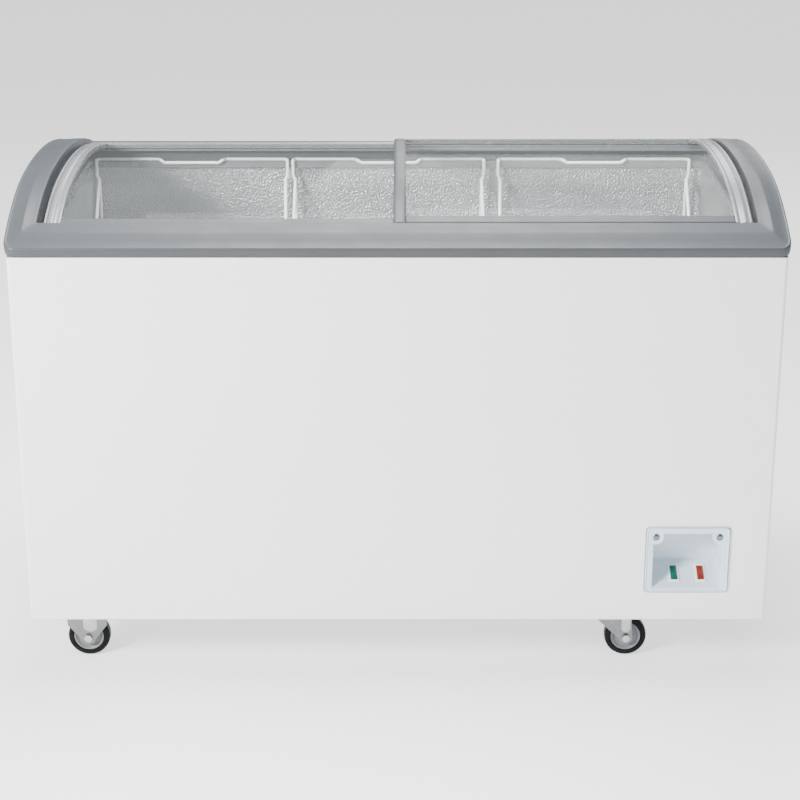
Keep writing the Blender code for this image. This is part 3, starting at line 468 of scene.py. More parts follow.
def crown_sweep(name, section, depths, steps=64):
    """A closed (x, inset) section swept along the crown."""
    loops = []
    for step in range(steps + 1):
        depth = depths[0] + (depths[1] - depths[0]) * (step / steps) ** 1.2
        loops.append([(x, *crown_point(depth, inset)) for x, inset in section])
    return lofted(name, loops, capped=True)


# ---------------------------------------------------------------- cabinet


def make_front_panel():
    """Front sheet with rounded vertical folds and a small return under its lower edge."""
    half, face, fold, sheet, hem = PANEL_HIGH.x, PANEL_LOW.y, 0.010, 0.001, 0.003
    low, high = PANEL_LOW.z, PANEL_HIGH.z
    turn = [(-half, PANEL_HIGH.y), (-half, face), (half, face), (half, PANEL_HIGH.y)]
    loops = []
    for z, inset in ((low, hem + sheet), (low, hem), (low + hem * 0.3, hem * 0.3), (low + hem, 0), (high, 0)):
        loops.append([(x, y, z) for x, y in inset_turn(turn, inset, fold)])
    for z in (high, low + hem):
        loops.append([(x, y, z) for x, y in inset_turn(turn, sheet, fold)])
    bm = bmesh.new()
    rows = [[bm.verts.new(point) for point in loop] for loop in loops]
    for first, second in zip(rows, rows[1:] + rows[:1]):
        for index in range(len(first) - 1):
            bm.faces.new((first[index], first[index + 1], second[index + 1], second[index]))
    for index in (0, -1):
        bm.faces.new([row[index] for row in rows])
    bezel_low, bezel_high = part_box("panel_bezel")
    margin = 0.009
    hole = box_mesh(
        "hole",
        (bezel_low.x + margin, face - 0.01, bezel_low.z + margin),
        (bezel_high.x - margin, face + 0.01, bezel_high.z - margin),
    )
    corner, slack = 0.008, 0.00001
    wide, under = half + slack, low - slack
    outline = [(-wide, high + slack), (-wide, under), (wide, under), (wide, high + slack)]
    outline = rounded(outline, corner, 6, closed=False)
    sheet_mesh = baked(
        "cabinet_front",
        mesh_of("cabinet_front", bm),
        ("DIFFERENCE", hole),
        ("INTERSECT", prism("corners", outline, face - 0.01, PANEL_HIGH.y + 0.01, "Y")),
    )
    piece("cabinet_front", sheet_mesh, "white_enamel", replaces=["front_panel"])


def inset_turn(turn, inset, fold):
    """The folded sheet's plan moved inwards."""
    moved = [(x - math.copysign(inset, x), y + (inset if y == turn[1][1] else 0)) for x, y in turn]
    return rounded(moved, fold - inset, 8, closed=False)


def make_side_sheets():
    """Side sheets with softened edges, the right one cut out for its grille."""
    grille_low, grille_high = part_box("side_grille")
    for name in ("left", "right"):
        low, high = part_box(f"side_panel_{name}")
        outline = rounded([(low.y, low.z), (high.y, low.z), (high.y, high.z), (low.y, high.z)], 0.002, 3)
        mesh = prism(f"cabinet_{name}", outline, low.x, high.x, "X")
        if name == "right":
            hole = [(grille_low.y - GAP, grille_low.z - GAP), (grille_high.y + GAP, grille_high.z + GAP)]
            cutter = box_mesh("hole", (low.x - 0.01, *hole[0]), (high.x + 0.01, *hole[1]))
            mesh = baked(f"cabinet_{name}", mesh, ("DIFFERENCE", cutter))
        softened(piece(f"cabinet_{name}", mesh, "white_enamel", replaces=[f"side_panel_{name}"]), 0.0004, 2)


def make_tub():
    """Embossed tub with smoothly rounded bends and a step over the machine room."""
    sheet, fold, step_x, step_top = 0.001, 0.015, 0.335, 0.41
    low, high = TUB_LOW, TUB_HIGH

    def solid(grow, top):
        left, right, floor = low.x + sheet - grow, high.x - sheet + grow, low.z + sheet - grow
        side = [(left, top), (left, floor), (step_x + grow, floor), (step_x + grow, step_top - grow)]
        side += [(right, step_top - grow), (right, top)]
        front, rear = low.y + sheet - grow, high.y - sheet + grow
        plan = rounded([(left, front), (right, front), (right, rear), (left, rear)], fold + grow, 8)
        return baked(
            "tub_solid",
            prism("side", rounded(side, fold, 8, closed=False), -1, 1, "Y"),
            ("INTERSECT", prism("plan", plan, 0, 2, "Z")),
        )

    mesh = baked("tub", solid(sheet, high.z), ("DIFFERENCE", solid(0, high.z + 0.05)))
    piece("tub", mesh, "embossed_aluminium", replaces=["liner"])


# ---------------------------------------------------------------- top frame

RAIL_TOP = 0.811  # top of the flat rear rail between the two arches

def frame_height(x, y, half_x, opening_rear):
    """Top of the moulding: the crown, but flat along the rear rail between the two arches."""
    crown = crown_height(y)
    if y < opening_rear - 0.002:
        return crown
    share = min(max((half_x + 0.0015 - abs(x)) / 0.0015, 0), 1)
    return crown + (min(crown, RAIL_TOP) - crown) * share


def ring(half_x, front, rear, radius, corner_steps=6):
    """Points round a rectangle, with enough along each side for the crown's curve."""
    corners = ((-1, -1), (1, -1), (1, 1), (-1, 1))
    centres = []
    for side_x, side_y in corners:
        centres.append((side_x * (half_x - radius), (front + radius) if side_y < 0 else (rear - radius)))
    points = []
    for index, centre in enumerate(centres):
        start = math.radians(180 + 90 * index)
        for step in range(corner_steps + 1):
            angle = start + math.radians(90) * step / corner_steps
            points.append((centre[0] + radius * math.cos(angle), centre[1] + radius * math.sin(angle)))
        following = centres[(index + 1) % 4]
        first = points[-1]
        angle = start + math.radians(90)
        last = (following[0] + radius * math.cos(angle), following[1] + radius * math.sin(angle))
        shares = [step / 60 for step in range(1, 60)]
        if index == 2:
            shares = rail_shares(first[0], last[0])
        for share in shares:
            points.append((first[0] + (last[0] - first[0]) * share, first[1] + (last[1] - first[1]) * share))
    return points


def rail_shares(start, end):
    """Places along the rear rail: a step down at each end of the rail, and an even run between."""
    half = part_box("front_track")[1].x + 0.0005
    xs = [half + 0.0016, half + 0.0001, half - 0.002]
    xs += [half - 0.004 - (2 * half - 0.008) * step / 52 for step in range(53)]
    xs += [-x for x in reversed(xs[:3])]
    return [min(max((x - start) / (end - start), 0), 1) for x in xs]


def make_top_frame():
    """Arched moulding: a rounded lip, a sloping band with mitred corners, and the opening's edge."""
    half_x = FRAME_HIGH.x
    opening_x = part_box("front_track")[1].x + 0.0005
    opening = (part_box("front_track")[0].y - 0.0005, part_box("basket_ledge")[1].y + 0.0005)
    loops = []

    def add(inset, drop, radius, crease=0.0):
        loop = []
        for x, y in ring(half_x - inset, FRONT + inset, BACK - inset, radius):
            fade = min(max((FRONT + 0.26 - y) / 0.20, 0), 1)
            loop.append((x, y, frame_height(x, y, opening_x, opening[1]) - drop + crease * fade))
        loops.append(loop)

    def add_flat(inset, z, radius):
        loops.append([(x, y, z) for x, y in ring(half_x - inset, FRONT + inset, BACK - inset, radius)])

    def add_opening(grow, drop, radius, z=None):
        loop = []
        for x, y in ring(opening_x + grow, opening[0] - grow, opening[1] + grow, radius):
            top = frame_height(x, y, opening_x, opening[1]) - drop
            loop.append((x, y, top if z is None else z))
        loops.append(loop)

    bottom = FRAME_LOW.z
    underside = ((0.0062, 0.0), (0.0048, 0.0004), (0.0032, 0.0016), (0.0018, 0.0040), (0.0007, 0.0080))
    for inset, rise in underside:
        add_flat(inset, bottom + rise, 0.018 - inset)
    add_flat(0.0, bottom + 0.0125, 0.018)
    lip = ((0.0, 0.0036), (0.0003, 0.0022), (0.0012, 0.0012), (0.0024, 0.0010), (0.0036, 0.0016))
    for inset, drop in lip:
        add(inset, drop, 0.018 - inset)
    add(0.0052, 0.0018, 0.0128)
    for inset, drop, crease in (
        (0.0150, 0.0012, 0.0020),
        (0.0255, 0.0006, 0.0036),
        (0.0270, 0.0004, 0.0037),
        (0.0290, 0.0002, 0.0035),
    ):
        add(inset, drop, 0.004, crease)
    add_opening(0.0130, 0.0, 0.006)
    for grow, drop in ((0.0030, 0.0), (0.0012, 0.0003), (0.0004, 0.0010), (0.0, 0.0022)):
        add_opening(grow, drop, 0.003 + grow)
    add_opening(0.0, 0.0, 0.003, bottom + 0.0002)
    piece("crown_frame", lofted("crown_frame", loops), "grey_plastic", replaces=["top_frame"], sharp=50)


def make_ledge_and_tracks():
    """Ledge round the tub's mouth, with the two stepped tracks, all with softened edges."""
    for name in ("basket_ledge", "front_track", "rear_track"):
        mesh = NODES[name].data.copy()
        bm = bmesh.new()
        bm.from_mesh(mesh)
        bmesh.ops.remove_doubles(bm, verts=bm.verts, dist=0.00001)
        bmesh.ops.dissolve_limit(bm, angle_limit=0.01, verts=bm.verts, edges=bm.edges)
        bm.to_mesh(mesh)
        bm.free()
        mesh.materials.clear()
        softened(piece(f"smooth_{name}", mesh, "pale_plastic", replaces=[name]), 0.0006, 2)


# ---------------------------------------------------------------- lids

LIDS = {
    "left": {"glass": (0.011, 0.015), "trim": (0.010, 0.019)},
    "right": {"glass": (0.002, 0.006), "trim": (0.0005, 0.008)},
}


def ribbed_section(low_x, high_x, insets, outer_side):
    """Cross-section of a lid's end trim: two rounded ribs with a channel between them."""
    top, under = insets
    width = high_x - low_x
    shape = [(0.0, 0.45), (0.02, 0.14), (0.06, 0.04), (0.12, 0.04), (0.16, 0.14), (0.18, 0.42), (0.26, 0.42)]
    shape += [(0.29, 0.12), (0.34, 0.0), (0.50, 0.02), (0.56, 0.14), (0.62, 0.30), (0.74, 0.30), (0.78, 0.10)]
    shape += [(0.83, 0.0), (0.95, 0.0), (0.99, 0.05), (1.0, 0.22)]
    points = []
    for share, drop in shape:
        x = high_x - width * share if outer_side > 0 else low_x + width * share
        points.append((x, top + (under - top) * drop))
    ends = sorted((points[0][0], points[-1][0]))
    lower = [(ends[0] + 0.0006, under), (ends[1] - 0.0006, under)]
    return points + (lower if outer_side > 0 else lower[::-1])


def bar_section(low_x, high_x, insets):
    """Cross-section of a centre bar: softly domed with small rounded edges."""
    top, under = insets
    middle, half = (low_x + high_x) / 2, (high_x - low_x) / 2
    points = []
    for step in range(13):
        across = -1 + step / 6
        points.append((middle + half * across, top + 0.0024 * abs(across) ** 4))
    return points + [(high_x - 0.0006, under), (low_x + 0.0006, under)]


def make_lid(side, data):
    """Curved pane in ribbed end trim, centre bar and two sliders."""
    body = f"lid_{side}"
    low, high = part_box(f"{body}_end_trim")
    depths = (low.y - FRONT, high.y - FRONT)
    outer = -1 if side == "left" else 1
    section = ribbed_section(low.x, high.x, data["trim"], outer)
    piece(f"{body}_ribbed_trim", crown_sweep(f"{body}_ribbed_trim", section, depths), "pale_plastic", body,
          [f"{body}_end_trim"], 50)
    low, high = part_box(f"{body}_centre_trim")
    section = bar_section(low.x, high.x, data["trim"])
    piece(f"{body}_bar", crown_sweep(f"{body}_bar", section, depths), "grey_plastic", body,
          [f"{body}_centre_trim"], 50)
    for place in ("front", "rear"):
        name = f"{body}_{place}_slider"
        low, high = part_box(name)
        span = (low.y - FRONT, high.y - FRONT)
        top, under = data["trim"]
        section = [(low.x, top), (high.x, top), (high.x, under), (low.x, under)]
        finish = "grey_plastic" if place == "front" else "pale_plastic"
        strip = piece(f"{name}_strip", crown_sweep(f"{name}_strip", section, span, 4), finish, body, [name])
        softened(strip, 0.0012, 3)
    low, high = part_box(f"{body}_glass")
    top, under = data["glass"]
    section = [(low.x, top), (high.x, top), (high.x, under), (low.x, under)]
    pane = crown_sweep(f"{body}_pane", section, (low.y - FRONT, high.y - FRONT), 80)
    piece(f"{body}_pane", pane, "glass", body, [f"{body}_glass"], 50)


# ---------------------------------------------------------------- baskets


def basket_paths():
    """Every wire of a basket about the middle of its rim, with rounded bends."""
    rim, hoop, grid = 0.003, 0.0025, 0.002
    low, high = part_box("basket_middle")
    half, front, rear = (high.x - low.x) / 2 - rim, low.y + rim, high.y - rim
    floor, inner = low.z - high.z + rim + 0.0045, (high.x - low.x) / 2 - rim - 0.004
    grip, bend, ramp, fall, dip, run = 0.058, 0.012, 0.006, 0.006, 0.0045, 0.090
    ends = []
    for end, into in ((rear, -1), (front, 1)):
        side = [(-half, end + into * 0.004, 0), (-half + 0.006, end, 0), (-grip - ramp, end, 0)]
        side += [(-grip, end + into * bend, 0), (-grip + fall, end + into * bend, -dip)]
        ends.append(side + [(-x, y, z) for x, y, z in reversed(side)])
    hoops = [(half, rear - 0.0095, -0.001), (half, rear - 0.0095, -0.030), (inner, rear - 0.0105, -0.038)]
    hoops += [(half - 0.001, rear - run, floor), (half - 0.001, front + run, floor)]
    hoops += [(inner, front + 0.0105, -0.038), (half, front + 0.0095, -0.030), (half, front + 0.0095, -0.001)]
    loop = ends[0] + hoops + ends[1][::-1] + [(-x, y, z) for x, y, z in reversed(hoops)]
    paths = [(rounded(loop, 0.006, 4), rim, True)]
    reach, tray = inner - 0.001, (front + 0.0105, rear - 0.0105)
    corners = [(-reach, tray[0], floor), (reach, tray[0], floor)]
    corners += [(reach, tray[1], floor), (-reach, tray[1], floor)]
    paths.append((rounded(corners, 0.008, 5), hoop, True))
    for side in (-1, 1):
        for along, into in ((tray[0], 1), (tray[1], -1)):
            post = [(side * reach, along + into * 0.008, floor), (side * reach, along, floor)]
            post.append((side * reach, along, -0.036))
            paths.append((rounded(post, 0.007, 5, closed=False), hoop, False))
    for index in range(8):
        across = (index - 3.5) * 0.043
        ends = [(across, along, floor - 0.0020) for along in (tray[0] + 0.001, tray[1] - 0.001)]
        paths.append((ends, grid, False))
    for index in range(5):
        along = tray[0] + (tray[1] - tray[0]) * (index + 1) / 6
        ends = [(side * (half - 0.002), along, floor - 0.0005) for side in (-1, 1)]
        paths.append((ends, grid, False))
    return paths


def make_baskets():
    for place in ("left", "middle", "right"):
        name = f"basket_{place}"
        low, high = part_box(name)
        middle = Vector(((low.x + high.x) / 2, 0, high.z - 0.003))
        moved = [([Vector(point) + middle for point in points], radius, closed)
                 for points, radius, closed in basket_paths()]
        wires(f"{name}_wires", moved, "white_wire", name, [name])


# ---------------------------------------------------------------- control panel

POCKET = {"x": (0.4369, 0.5529), "z": (0.1708, 0.2711), "back": -0.2845, "ramp_top": 0.201}
PANEL_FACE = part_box("panel_bezel")[0].y


def rectangle(x_range, z_range, y, radius):
    """A rounded rectangle that faces the customer, with a fixed number of points."""
    (left, right), (bottom, top) = x_range, z_range
    corners = [(left, bottom), (right, bottom), (right, top), (left, top)]
    return [(x, y, z) for x, z in rounded(corners, radius, 7)]


def make_bezel():
    """Bezel with a raised rim, and a deep pocket whose floor slopes up to the back."""
    low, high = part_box("panel_bezel")

    def outer(inset, y, radius):
        return rectangle((low.x + inset, high.x - inset), (low.z + inset, high.z - inset), y, radius)

    def pocket(grow, y, radius, floor=POCKET["z"][0]):
        return rectangle(
            (POCKET["x"][0] - grow, POCKET["x"][1] + grow), (floor - grow, POCKET["z"][1] + grow), y, radius)

    face, back = PANEL_FACE, POCKET["back"]
    loops = [pocket(0.0, back, 0.003, POCKET["ramp_top"])]
    loops += [pocket(0.0, face + 0.003, 0.003, POCKET["z"][0] + 0.0015)]
    loops += [pocket(0.0006, face + 0.0008, 0.004), pocket(0.0020, face + 0.0002, 0.005)]
    loops += [outer(0.0058, face + 0.0002, 0.004), outer(0.0050, face - 0.0003, 0.005)]
    loops += [outer(0.0042, face - 0.0011, 0.006), outer(0.0030, face - 0.0011, 0.006)]
    loops += [outer(0.0026, face - 0.0006, 0.006), outer(0.0024, face + 0.0020, 0.006)]
    loops += [outer(0.0013, face + 0.0020, 0.006), outer(0.0011, face + 0.0002, 0.006)]
    loops += [outer(0.0002, face + 0.0002, 0.007), outer(0.0, face + 0.0010, 0.007)]
    loops += [outer(0.0, PANEL_LOW.y - GAP, 0.007), pocket(0.0027, PANEL_LOW.y - GAP, 0.003)]
    loops += [pocket(0.0027, face + 0.004, 0.003), pocket(0.0027, back + 0.0027, 0.003, POCKET["ramp_top"])]
    mesh = lofted("bezel", loops, capped=True)
    sockets = []
    for colour in ("green", "red"):
        lamp_low, lamp_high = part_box(f"lamp_body_{colour}")
        matrix = ramp_matrix((lamp_low.x + lamp_high.x) / 2)
        socket = box_mesh("socket", (-0.008, -0.017, -0.013), (0.008, 0.017, 0.02), matrix)
        sockets.append(("DIFFERENCE", socket))
    piece("bezel", baked("bezel", mesh, *sockets), "panel_plastic", replaces=["panel_bezel"], sharp=28)


def ramp_matrix(x):
    """Axes on the pocket's sloping floor: across, up the slope and out of it."""
    rise, run = POCKET["ramp_top"] - POCKET["z"][0], POCKET["back"] - PANEL_FACE
    middle = (x, PANEL_FACE + run / 2, POCKET["z"][0] + rise / 2)
    return Matrix.Translation(middle) @ Matrix.Rotation(math.atan2(rise, run), 4, "X")


def make_screw(side):
    """Plain domed screw in a round boss at the pocket's upper corner."""
    low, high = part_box(f"panel_screw_{side}")
    x, z, radius = (low.x + high.x) / 2, (low.z + high.z) / 2, (high.x - low.x) / 2
    face = PANEL_FACE
    boss = [(0, 0.009), (0.0135, 0.009), (0.0135, 0.0006), (0.0130, 0.0), (0.0076, 0.0), (0.0068, 0.0004)]
    boss += [(0.0062, 0.0028), (0, 0.0028)]
    wall = 0.0025
    clip = box_mesh(
        "clip",
        (POCKET["x"][0] - wall, face - 0.001, 0.2),
        (POCKET["x"][1] + wall, face + 0.01, POCKET["z"][1] + wall),
    )
    mesh = baked(f"boss_{side}", turned("boss", boss, (0, 1, 0), (x, face, z)), ("INTERSECT", clip))
    piece(f"boss_{side}", mesh, "panel_plastic")
    dome = [(0, low.y + 0.0001)]
    for step in range(1, 9):
        angle = math.radians(11 * step)
        dome.append((radius * math.sin(angle), low.y + 0.0001 + 0.0022 * (1 - math.cos(angle))))
    dome += [(radius, face + 0.0026), (0, face + 0.0026)]
    head = turned(f"screw_{side}", dome, (0, 1, 0), (x, 0, z))
    # The head's dark blue colour is a painted reflection of the dark ring round the dome.
    piece(f"screw_{side}", head, "chrome_painted_reflection", replaces=[f"panel_screw_{side}"])


def make_lamp(colour):
    """Signal lamp: white surround and a ribbed, faceted lens."""
    low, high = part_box(f"lamp_body_{colour}")
    matrix = ramp_matrix((low.x + high.x) / 2)

    def slab(half_x, half_y, height, radius):
        corners = [(-half_x, -half_y), (half_x, -half_y), (half_x, half_y), (-half_x, half_y)]
        return [matrix @ Vector((x, y, height)) for x, y in rounded(corners, radius, 4)]

    loops = [slab(0.0056, 0.0151, 0.0012, 0.0008), slab(0.0060, 0.0155, 0.0021, 0.001)]
    loops += [slab(0.0084, 0.0189, 0.0020, 0.002), slab(0.0093, 0.0198, 0.0012, 0.0025)]
    loops += [slab(0.0095, 0.0200, 0.0004, 0.0025), slab(0.0077, 0.0167, 0.0003, 0.001)]
    loops += [slab(0.0076, 0.0166, -0.0118, 0.001)]
    piece(f"lamp_surround_{colour}", lofted(f"lamp_surround_{colour}", loops, capped=True), "lamp_white",
          replaces=[f"lamp_body_{colour}"])
    lens_loops = [slab(0.0055, 0.0150, 0.0010, 0.0005), slab(0.0055, 0.0150, 0.0030, 0.0005)]
    lens_loops += [slab(0.0038, 0.0128, 0.0050, 0.0005), slab(0.0034, 0.0124, 0.0046, 0.0004)]
    mesh = lofted(f"lens_{colour}", lens_loops, capped=True)
    piece(f"lens_{colour}", mesh, f"{colour}_lens", replaces=[f"lamp_lens_{colour}"], sharp=15)


# ---------------------------------------------------------------- castors


def make_wheel(name, body):
    """Rounded tyre and dished hub of one castor wheel."""
    low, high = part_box(f"castor_{name}_tyre")
    centre = (low + high) / 2
    radius, half = (high.x - low.x) / 2, (high.y - low.y) / 2
    hub_radius = (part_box(f"castor_{name}_hub")[1].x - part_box(f"castor_{name}_hub")[0].x) / 2
    tread = [(hub_radius + GAP, -half + 0.0015), (hub_radius + 0.0012, -half), (radius - 0.006, -half)]
    for step in range(7):
        angle = math.radians(15 * step)
        tread.append((radius - 0.0062 + 0.0058 * math.sin(angle), -half + 0.0058 * (1 - math.cos(angle))))
    tread.append((radius, 0.0))
    tread += [(r, -h) for r, h in reversed(tread[:-1])]
    tyre = turned(f"{name}_tyre", tread, (0, 1, 0), centre, 72, True)
    piece(f"{name}_tyre_smooth", tyre, "black_rubber", body, [f"castor_{name}_tyre"], 50)
    disc = [(0.0043, -0.0138), (0.0085, -0.0138), (0.0095, -0.0128), (0.0102, -0.0098), (0.0115, -0.0088)]
    disc += [(0.0200, -0.0080), (0.0215, -0.0086), (0.0228, -0.0108), (0.0240, -0.0115)]
    disc += [(hub_radius - 0.0006, -0.0115), (hub_radius, -0.0108)]
    disc += [(r, -h) for r, h in reversed(disc)]
    hub = turned(f"{name}_hub", disc, (0, 1, 0), centre, 64, True)
    piece(f"{name}_hub_smooth", hub, "grey_nylon", body, [f"castor_{name}_hub"], 40)


def hexagon(radius, across, up):
    """The six corners of a bolt head about a point."""
    angles = [math.radians(60 * corner) for corner in range(6)]
    return [(across + radius * math.cos(angle), up + radius * math.sin(angle)) for angle in angles]


def make_bolt(name, body):
    """Axle bolt with a hexagon head and nut, chamfered."""
    low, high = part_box(f"castor_{name}_axle")
    centre, reach, head = (low + high) / 2, (high.y - low.y) / 2, 0.0047
    under = -reach + head
    shaft = [(0, under), (0.0060, under), (0.0060, under + GAP), (0.0040, under + GAP)]
    shaft += [(r, -h) for r, h in reversed(shaft)]
    mesh = turned("shaft", shaft, (0, 1, 0), centre, 24)
    ends = []
    for start, end in ((-reach, -reach + head + 0.0001), (reach - head - 0.0001, reach)):
        outline = hexagon(0.0073, centre.x, centre.z)
        ends.append(("UNION", prism("head", outline, centre.y + start, centre.y + end, "Y")))
    mesh = baked(f"{name}_bolt", mesh, *ends)
    bolt = piece(f"{name}_bolt", mesh, "bolt_steel_and_rib_highlight", body, [f"castor_{name}_axle"])
    softened(bolt, 0.0005, 2, 40)


def leg_outline(left, right, top, waist, axle_x, axle_z, foot):
    """A fork leg seen from the side, with a round foot about the axle."""
    tangent = []
    for step in range(17):
        angle = math.radians(195 + 150 * step / 16)
        tangent.append((axle_x + foot * math.cos(angle), axle_z + foot * math.sin(angle)))
    return [(left, top), (left, waist)] + tangent + [(right, waist), (right, top)]


def pressed_rib(x, y, side, bottom, top, half, proud):
    """Upright rib with a round face, pressed out of a fork leg and running out at its foot."""
    angles = [math.radians(15 * step) for step in range(13)]
    face = [(half * math.cos(angle), proud * math.sin(angle)) for angle in angles]
    root = -0.001
    loops = []
    for z, share in ((top, 1.0), (bottom + 0.006, 1.0), (bottom, 0.45)):
        loop = [(half * share, root), *((a * share, b * share) for a, b in face), (-half * share, root)]
        loops.append([(x + a, y + side * b, z) for a, b in loop])
    return lofted("rib", loops, capped=True)


def plate_with_bolts(name, low, high, body="root"):
    """Mounting plate with rounded corners and four hexagon bolt heads."""
    corners = [(low.x, low.y), (high.x, low.y), (high.x, high.y), (low.x, high.y)]
    plate = prism(name, rounded(corners, 0.008, 5), high.z - 0.003, high.z, "Z")
    inset = 0.009
    for index, (x, y) in enumerate(corners):
        x += math.copysign(inset, (low.x + high.x) / 2 - x)
        y += math.copysign(inset, (low.y + high.y) / 2 - y)
        bolt = prism(f"{name}_bolt_{index}", hexagon(0.0055, x, y), high.z - 0.0075, high.z - 0.0029, "Z")
        softened(piece(f"{name}_bolt_{index}", bolt, "bright_zinc", body), 0.0005, 2, 40)
    return plate


def make_rigid_castor(name):
    """Fixed castor: plate, two straight legs with rounded feet and a pressed rib down each leg, the ribs in
    lighter steel than the legs as a painted highlight.
    """
    low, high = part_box(f"castor_{name}_bracket")
    axle_low, axle_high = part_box(f"castor_{name}_axle")
    axle = (axle_low + axle_high) / 2
    plate = plate_with_bolts(f"{name}_plate", low, high)
    outline = leg_outline(axle.x - 0.036, axle.x + 0.034, high.z - 0.001, 0.062, axle.x, axle.z, 0.013)
    soft = rounded(outline, 0.006, 4)
    steps = []
    for side in (-1, 1):
        span = sorted((axle.y + side * 0.0158, axle.y + side * 0.0183))
        steps.append(("UNION", prism("leg", soft, *span, "Y")))
        rib = pressed_rib(axle.x + 0.004, axle.y + side * 0.0181, side, 0.050, high.z - 0.0035, 0.013, 0.0028)
        # The rib is a separate piece in lighter steel than the leg: painted highlight.
        piece(f"{name}_rib_{'ab'[side > 0]}", rib, "bolt_steel_and_rib_highlight")
    bracket = piece(f"{name}_bracket_pressed", baked(f"{name}_bracket", plate, *steps), "bright_zinc",
                    replaces=[f"castor_{name}_bracket"])
    softened(bracket, 0.0007, 2)
    make_bolt(name, "root")
    make_wheel(name, "wheel_" + name)


def make_swivel_castor(name):
    """Swivel castor: plate with its race, and a pressed fork that trails the wheel."""
    low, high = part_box(f"castor_{name}_plate")
    middle = (low + high) / 2
    plate = plate_with_bolts(f"{name}_plate", low, high)
    race = [(0, 0.1070), (0.0265, 0.1070), (0.0265, 0.1040), (0.0255, 0.0985), (0.0240, 0.0958)]
    race += [(0.0210, 0.0955), (0.0055, 0.0955), (0.0055, 0.0862), (0.0088, 0.0862), (0.0090, 0.0850)]
    race += [(0.0086, 0.0832), (0, 0.0830)]
    mesh = baked(f"{name}_head", plate, ("UNION", turned("race", race, (0, 0, 1), (middle.x, middle.y, 0))))
    softened(piece(f"{name}_head", mesh, "bright_zinc", replaces=[f"castor_{name}_plate"]), 0.0004, 2, 40)
    axle_low, axle_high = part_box(f"castor_{name}_axle")
    axle = (axle_low + axle_high) / 2
    crown = [(0.0060, 0.0866), (0.0250, 0.0866), (0.0275, 0.0876), (0.0288, 0.0900), (0.0290, 0.0948)]
    crown += [(0.0278, 0.0950), (0.0262, 0.0940), (0.0250, 0.0915), (0.0060, 0.0910)]
    fork = turned("crown", crown, (0, 0, 1), (middle.x, middle.y, 0), 48, True)
    outline = leg_outline(middle.x - 0.024, axle.x + 0.0095, 0.0885, 0.070, axle.x, axle.z, 0.012)
    outline[1] = (middle.x - 0.026, 0.078)
    body = "fork_" + name
    soft = rounded(outline, 0.004, 4)
    steps = []
    for side in (-1, 1):
        span = sorted((axle.y + side * 0.0158, axle.y + side * 0.0183))
        steps.append(("UNION", prism("leg", soft, *span, "Y")))
        rib = pressed_rib(axle.x - 0.0005, axle.y + side * 0.0181, side, 0.048, 0.0882, 0.0085, 0.0030)
        # The rib is a separate piece in lighter steel than the fork: painted highlight.
        piece(f"{name}_rib_{'ab'[side > 0]}", rib, "bolt_steel_and_rib_highlight", body)
    shape = piece(f"{name}_fork_pressed", baked(f"{name}_fork", fork, *steps), "bright_zinc", body,
                  [f"castor_{name}_fork"])
    softened(shape, 0.0006, 2, 40)
    make_bolt(name, body)
    make_wheel(name, "wheel_" + name)


# ---------------------------------------------------------------- grilles and back


def make_grille(name, axis):
    """Vent plate with a rounded border and slanted louvres."""
    low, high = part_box(name)
    wide = (low.y, high.y) if axis == "X" else (low.x, high.x)
    face = (low.x, high.x) if axis == "X" else (low.y, high.y)
    border, blades, out = 0.018, 8, 0.0006
    corners = [(wide[0], low.z), (wide[1], low.z), (wide[1], high.z), (wide[0], high.z)]
    window = [(wide[0] + border, low.z + border), (wide[1] - border, low.z + border)]
    window += [(wide[1] - border, high.z - border), (wide[0] + border, high.z - border)]
    plate = prism(name, rounded(corners, 0.004, 4), *face, axis)
    hole = prism("hole", rounded(window, 0.004, 4), face[0] - 0.01, face[1] + 0.01, axis)
    steps = [("DIFFERENCE", hole)]
    pitch = (high.z - low.z - 2 * border) / blades
    for index in range(blades):
        z = low.z + border + pitch * (index + 0.5)
        blade = [(face[0] + out, z + 0.0070), (face[1] - out, z - 0.0040)]
        blade += [(face[1] - out, z - 0.0070), (face[0] + out, z + 0.0040)]
        ends = (wide[0] + border - 0.001, wide[1] - border + 0.001)
        steps.append(("UNION", prism("blade", blade, *ends, "Y" if axis == "X" else "X")))
    softened(piece(f"{name}_louvres", baked(name, plate, *steps), "grey_plastic", replaces=[name]), 0.0004, 2)
    for across in (wide[0] + border / 2, wide[1] - border / 2):
        for z in (low.z + border / 2, high.z - border / 2):
            place = (face[1] - 0.0003, across, z) if axis == "X" else (across, face[1] - 0.0003, z)
            direction = (1, 0, 0) if axis == "X" else (0, 1, 0)
            head = [(0, 0.0013), (0.0018, 0.0011), (0.0034, 0.0005), (0.0038, 0.0), (0, 0.0)]
            label = f"{name}_screw_{'ab'[across > sum(wide) / 2]}{'cd'[z > (low.z + high.z) / 2]}"
            piece(label, turned(label, head, direction, place, 20), "bright_zinc")


# ---------------------------------------------------------------- studio


def make_floor():
    """Wide pale floor, glowing a little so that it stays even far from the lights."""
    reach = 14.0
    mesh = bpy.data.meshes.new("floor")
    corners = [(-reach, -reach, 0), (reach, -reach, 0), (reach, reach, 0), (-reach, reach, 0)]
    mesh.from_pydata(corners, [], [(0, 1, 2, 3)])
    floor = bpy.data.objects.new("floor", mesh)
    bpy.context.scene.collection.objects.link(floor)
    made = Shader("studio_floor", (0.66, 0.66, 0.66), 0.7, Emission_Strength=1.1)
    made.set("Emission Color", (1, 1, 1, 1))
    mesh.materials.append(made.tint(made.noise(0.7), (0.65, 0.65, 0.65), (0.67, 0.67, 0.67)).material)


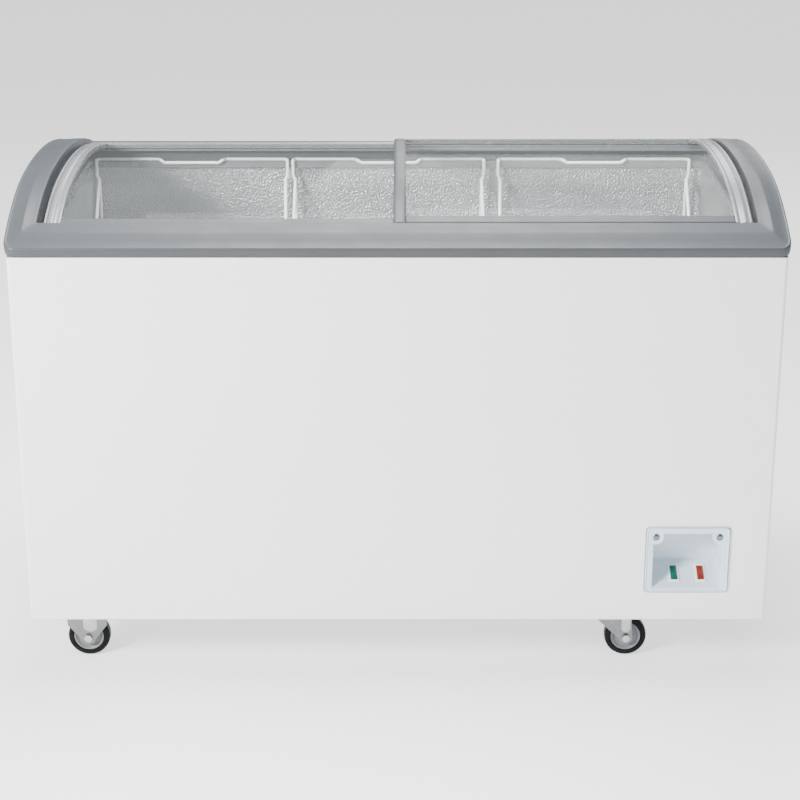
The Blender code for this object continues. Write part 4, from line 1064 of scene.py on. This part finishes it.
def make_studio():
    """Pale floor, a room that darkens towards the horizon, and a key light high on the left."""
    make_floor()
    world = bpy.data.worlds.new("studio")
    world.use_nodes = True
    nodes, links = world.node_tree.nodes, world.node_tree.links
    ramp, split = nodes.new("ShaderNodeValToRGB"), nodes.new("ShaderNodeSeparateXYZ")
    links.new(nodes.new("ShaderNodeTexCoord").outputs["Generated"], split.inputs["Vector"])
    links.new(split.outputs["Z"], ramp.inputs["Fac"])
    links.new(ramp.outputs["Color"], nodes["Background"].inputs["Color"])
    ramp.color_ramp.elements[0].position, ramp.color_ramp.elements[0].color = 0.02, (0.10, 0.105, 0.11, 1)
    ramp.color_ramp.elements[1].position, ramp.color_ramp.elements[1].color = 0.65, (0.62, 0.635, 0.65, 1)
    nodes["Background"].inputs["Strength"].default_value = 1.0
    bpy.context.scene.world = world
    lights = (
        ("key", (-2.4, -2.5, 2.0), 0.8, 350, (1.0, 0.98, 0.955)),
        ("top", (0.0, 0.25, 2.7), 1.4, 150, (1.0, 1.0, 1.0)),
        ("fill", (2.6, -3.6, 1.3), 1.6, 30, (0.93, 0.965, 1.0)),
        ("back", (0.5, 3.2, 2.4), 1.6, 45, (1.0, 1.0, 1.0)),
    )
    for name, place, side, power, colour in lights:
        data = bpy.data.lights.new(name, "AREA")
        data.size, data.energy, data.color = side, power, colour
        lamp = bpy.data.objects.new(name, data)
        bpy.context.scene.collection.objects.link(lamp)
        lamp.location = place
        aim = Vector((0, 0, 0.5)) - lamp.location
        lamp.rotation_euler = aim.to_track_quat("-Z", "Y").to_euler()


def make_camera():
    """A little above the freezer and straight in front of it, tilted down."""
    data = bpy.data.cameras.new("camera")
    camera = bpy.data.objects.new("camera", data)
    bpy.context.scene.collection.objects.link(camera)
    camera.location = (0.0043, -3.376, 1.573)
    camera.rotation_euler = (math.radians(90 - 19.26), 0, 0)
    data.sensor_width, data.lens = 36.0, 87.1
    bpy.context.scene.camera = camera


make_camera()
make_studio()
finish_cad_nodes()
make_front_panel()
make_side_sheets()
make_tub()
make_top_frame()
make_ledge_and_tracks()
for lid_side, lid_data in LIDS.items():
    make_lid(lid_side, lid_data)
make_baskets()
make_bezel()
for side_name in ("left", "right"):
    make_screw(side_name)
for lamp_colour in ("green", "red"):
    make_lamp(lamp_colour)
for place_name in ("front", "rear"):
    make_rigid_castor(f"{place_name}_left")
    make_swivel_castor(f"{place_name}_right")
make_grille("side_grille", "X")
make_grille("rear_cover", "Y")
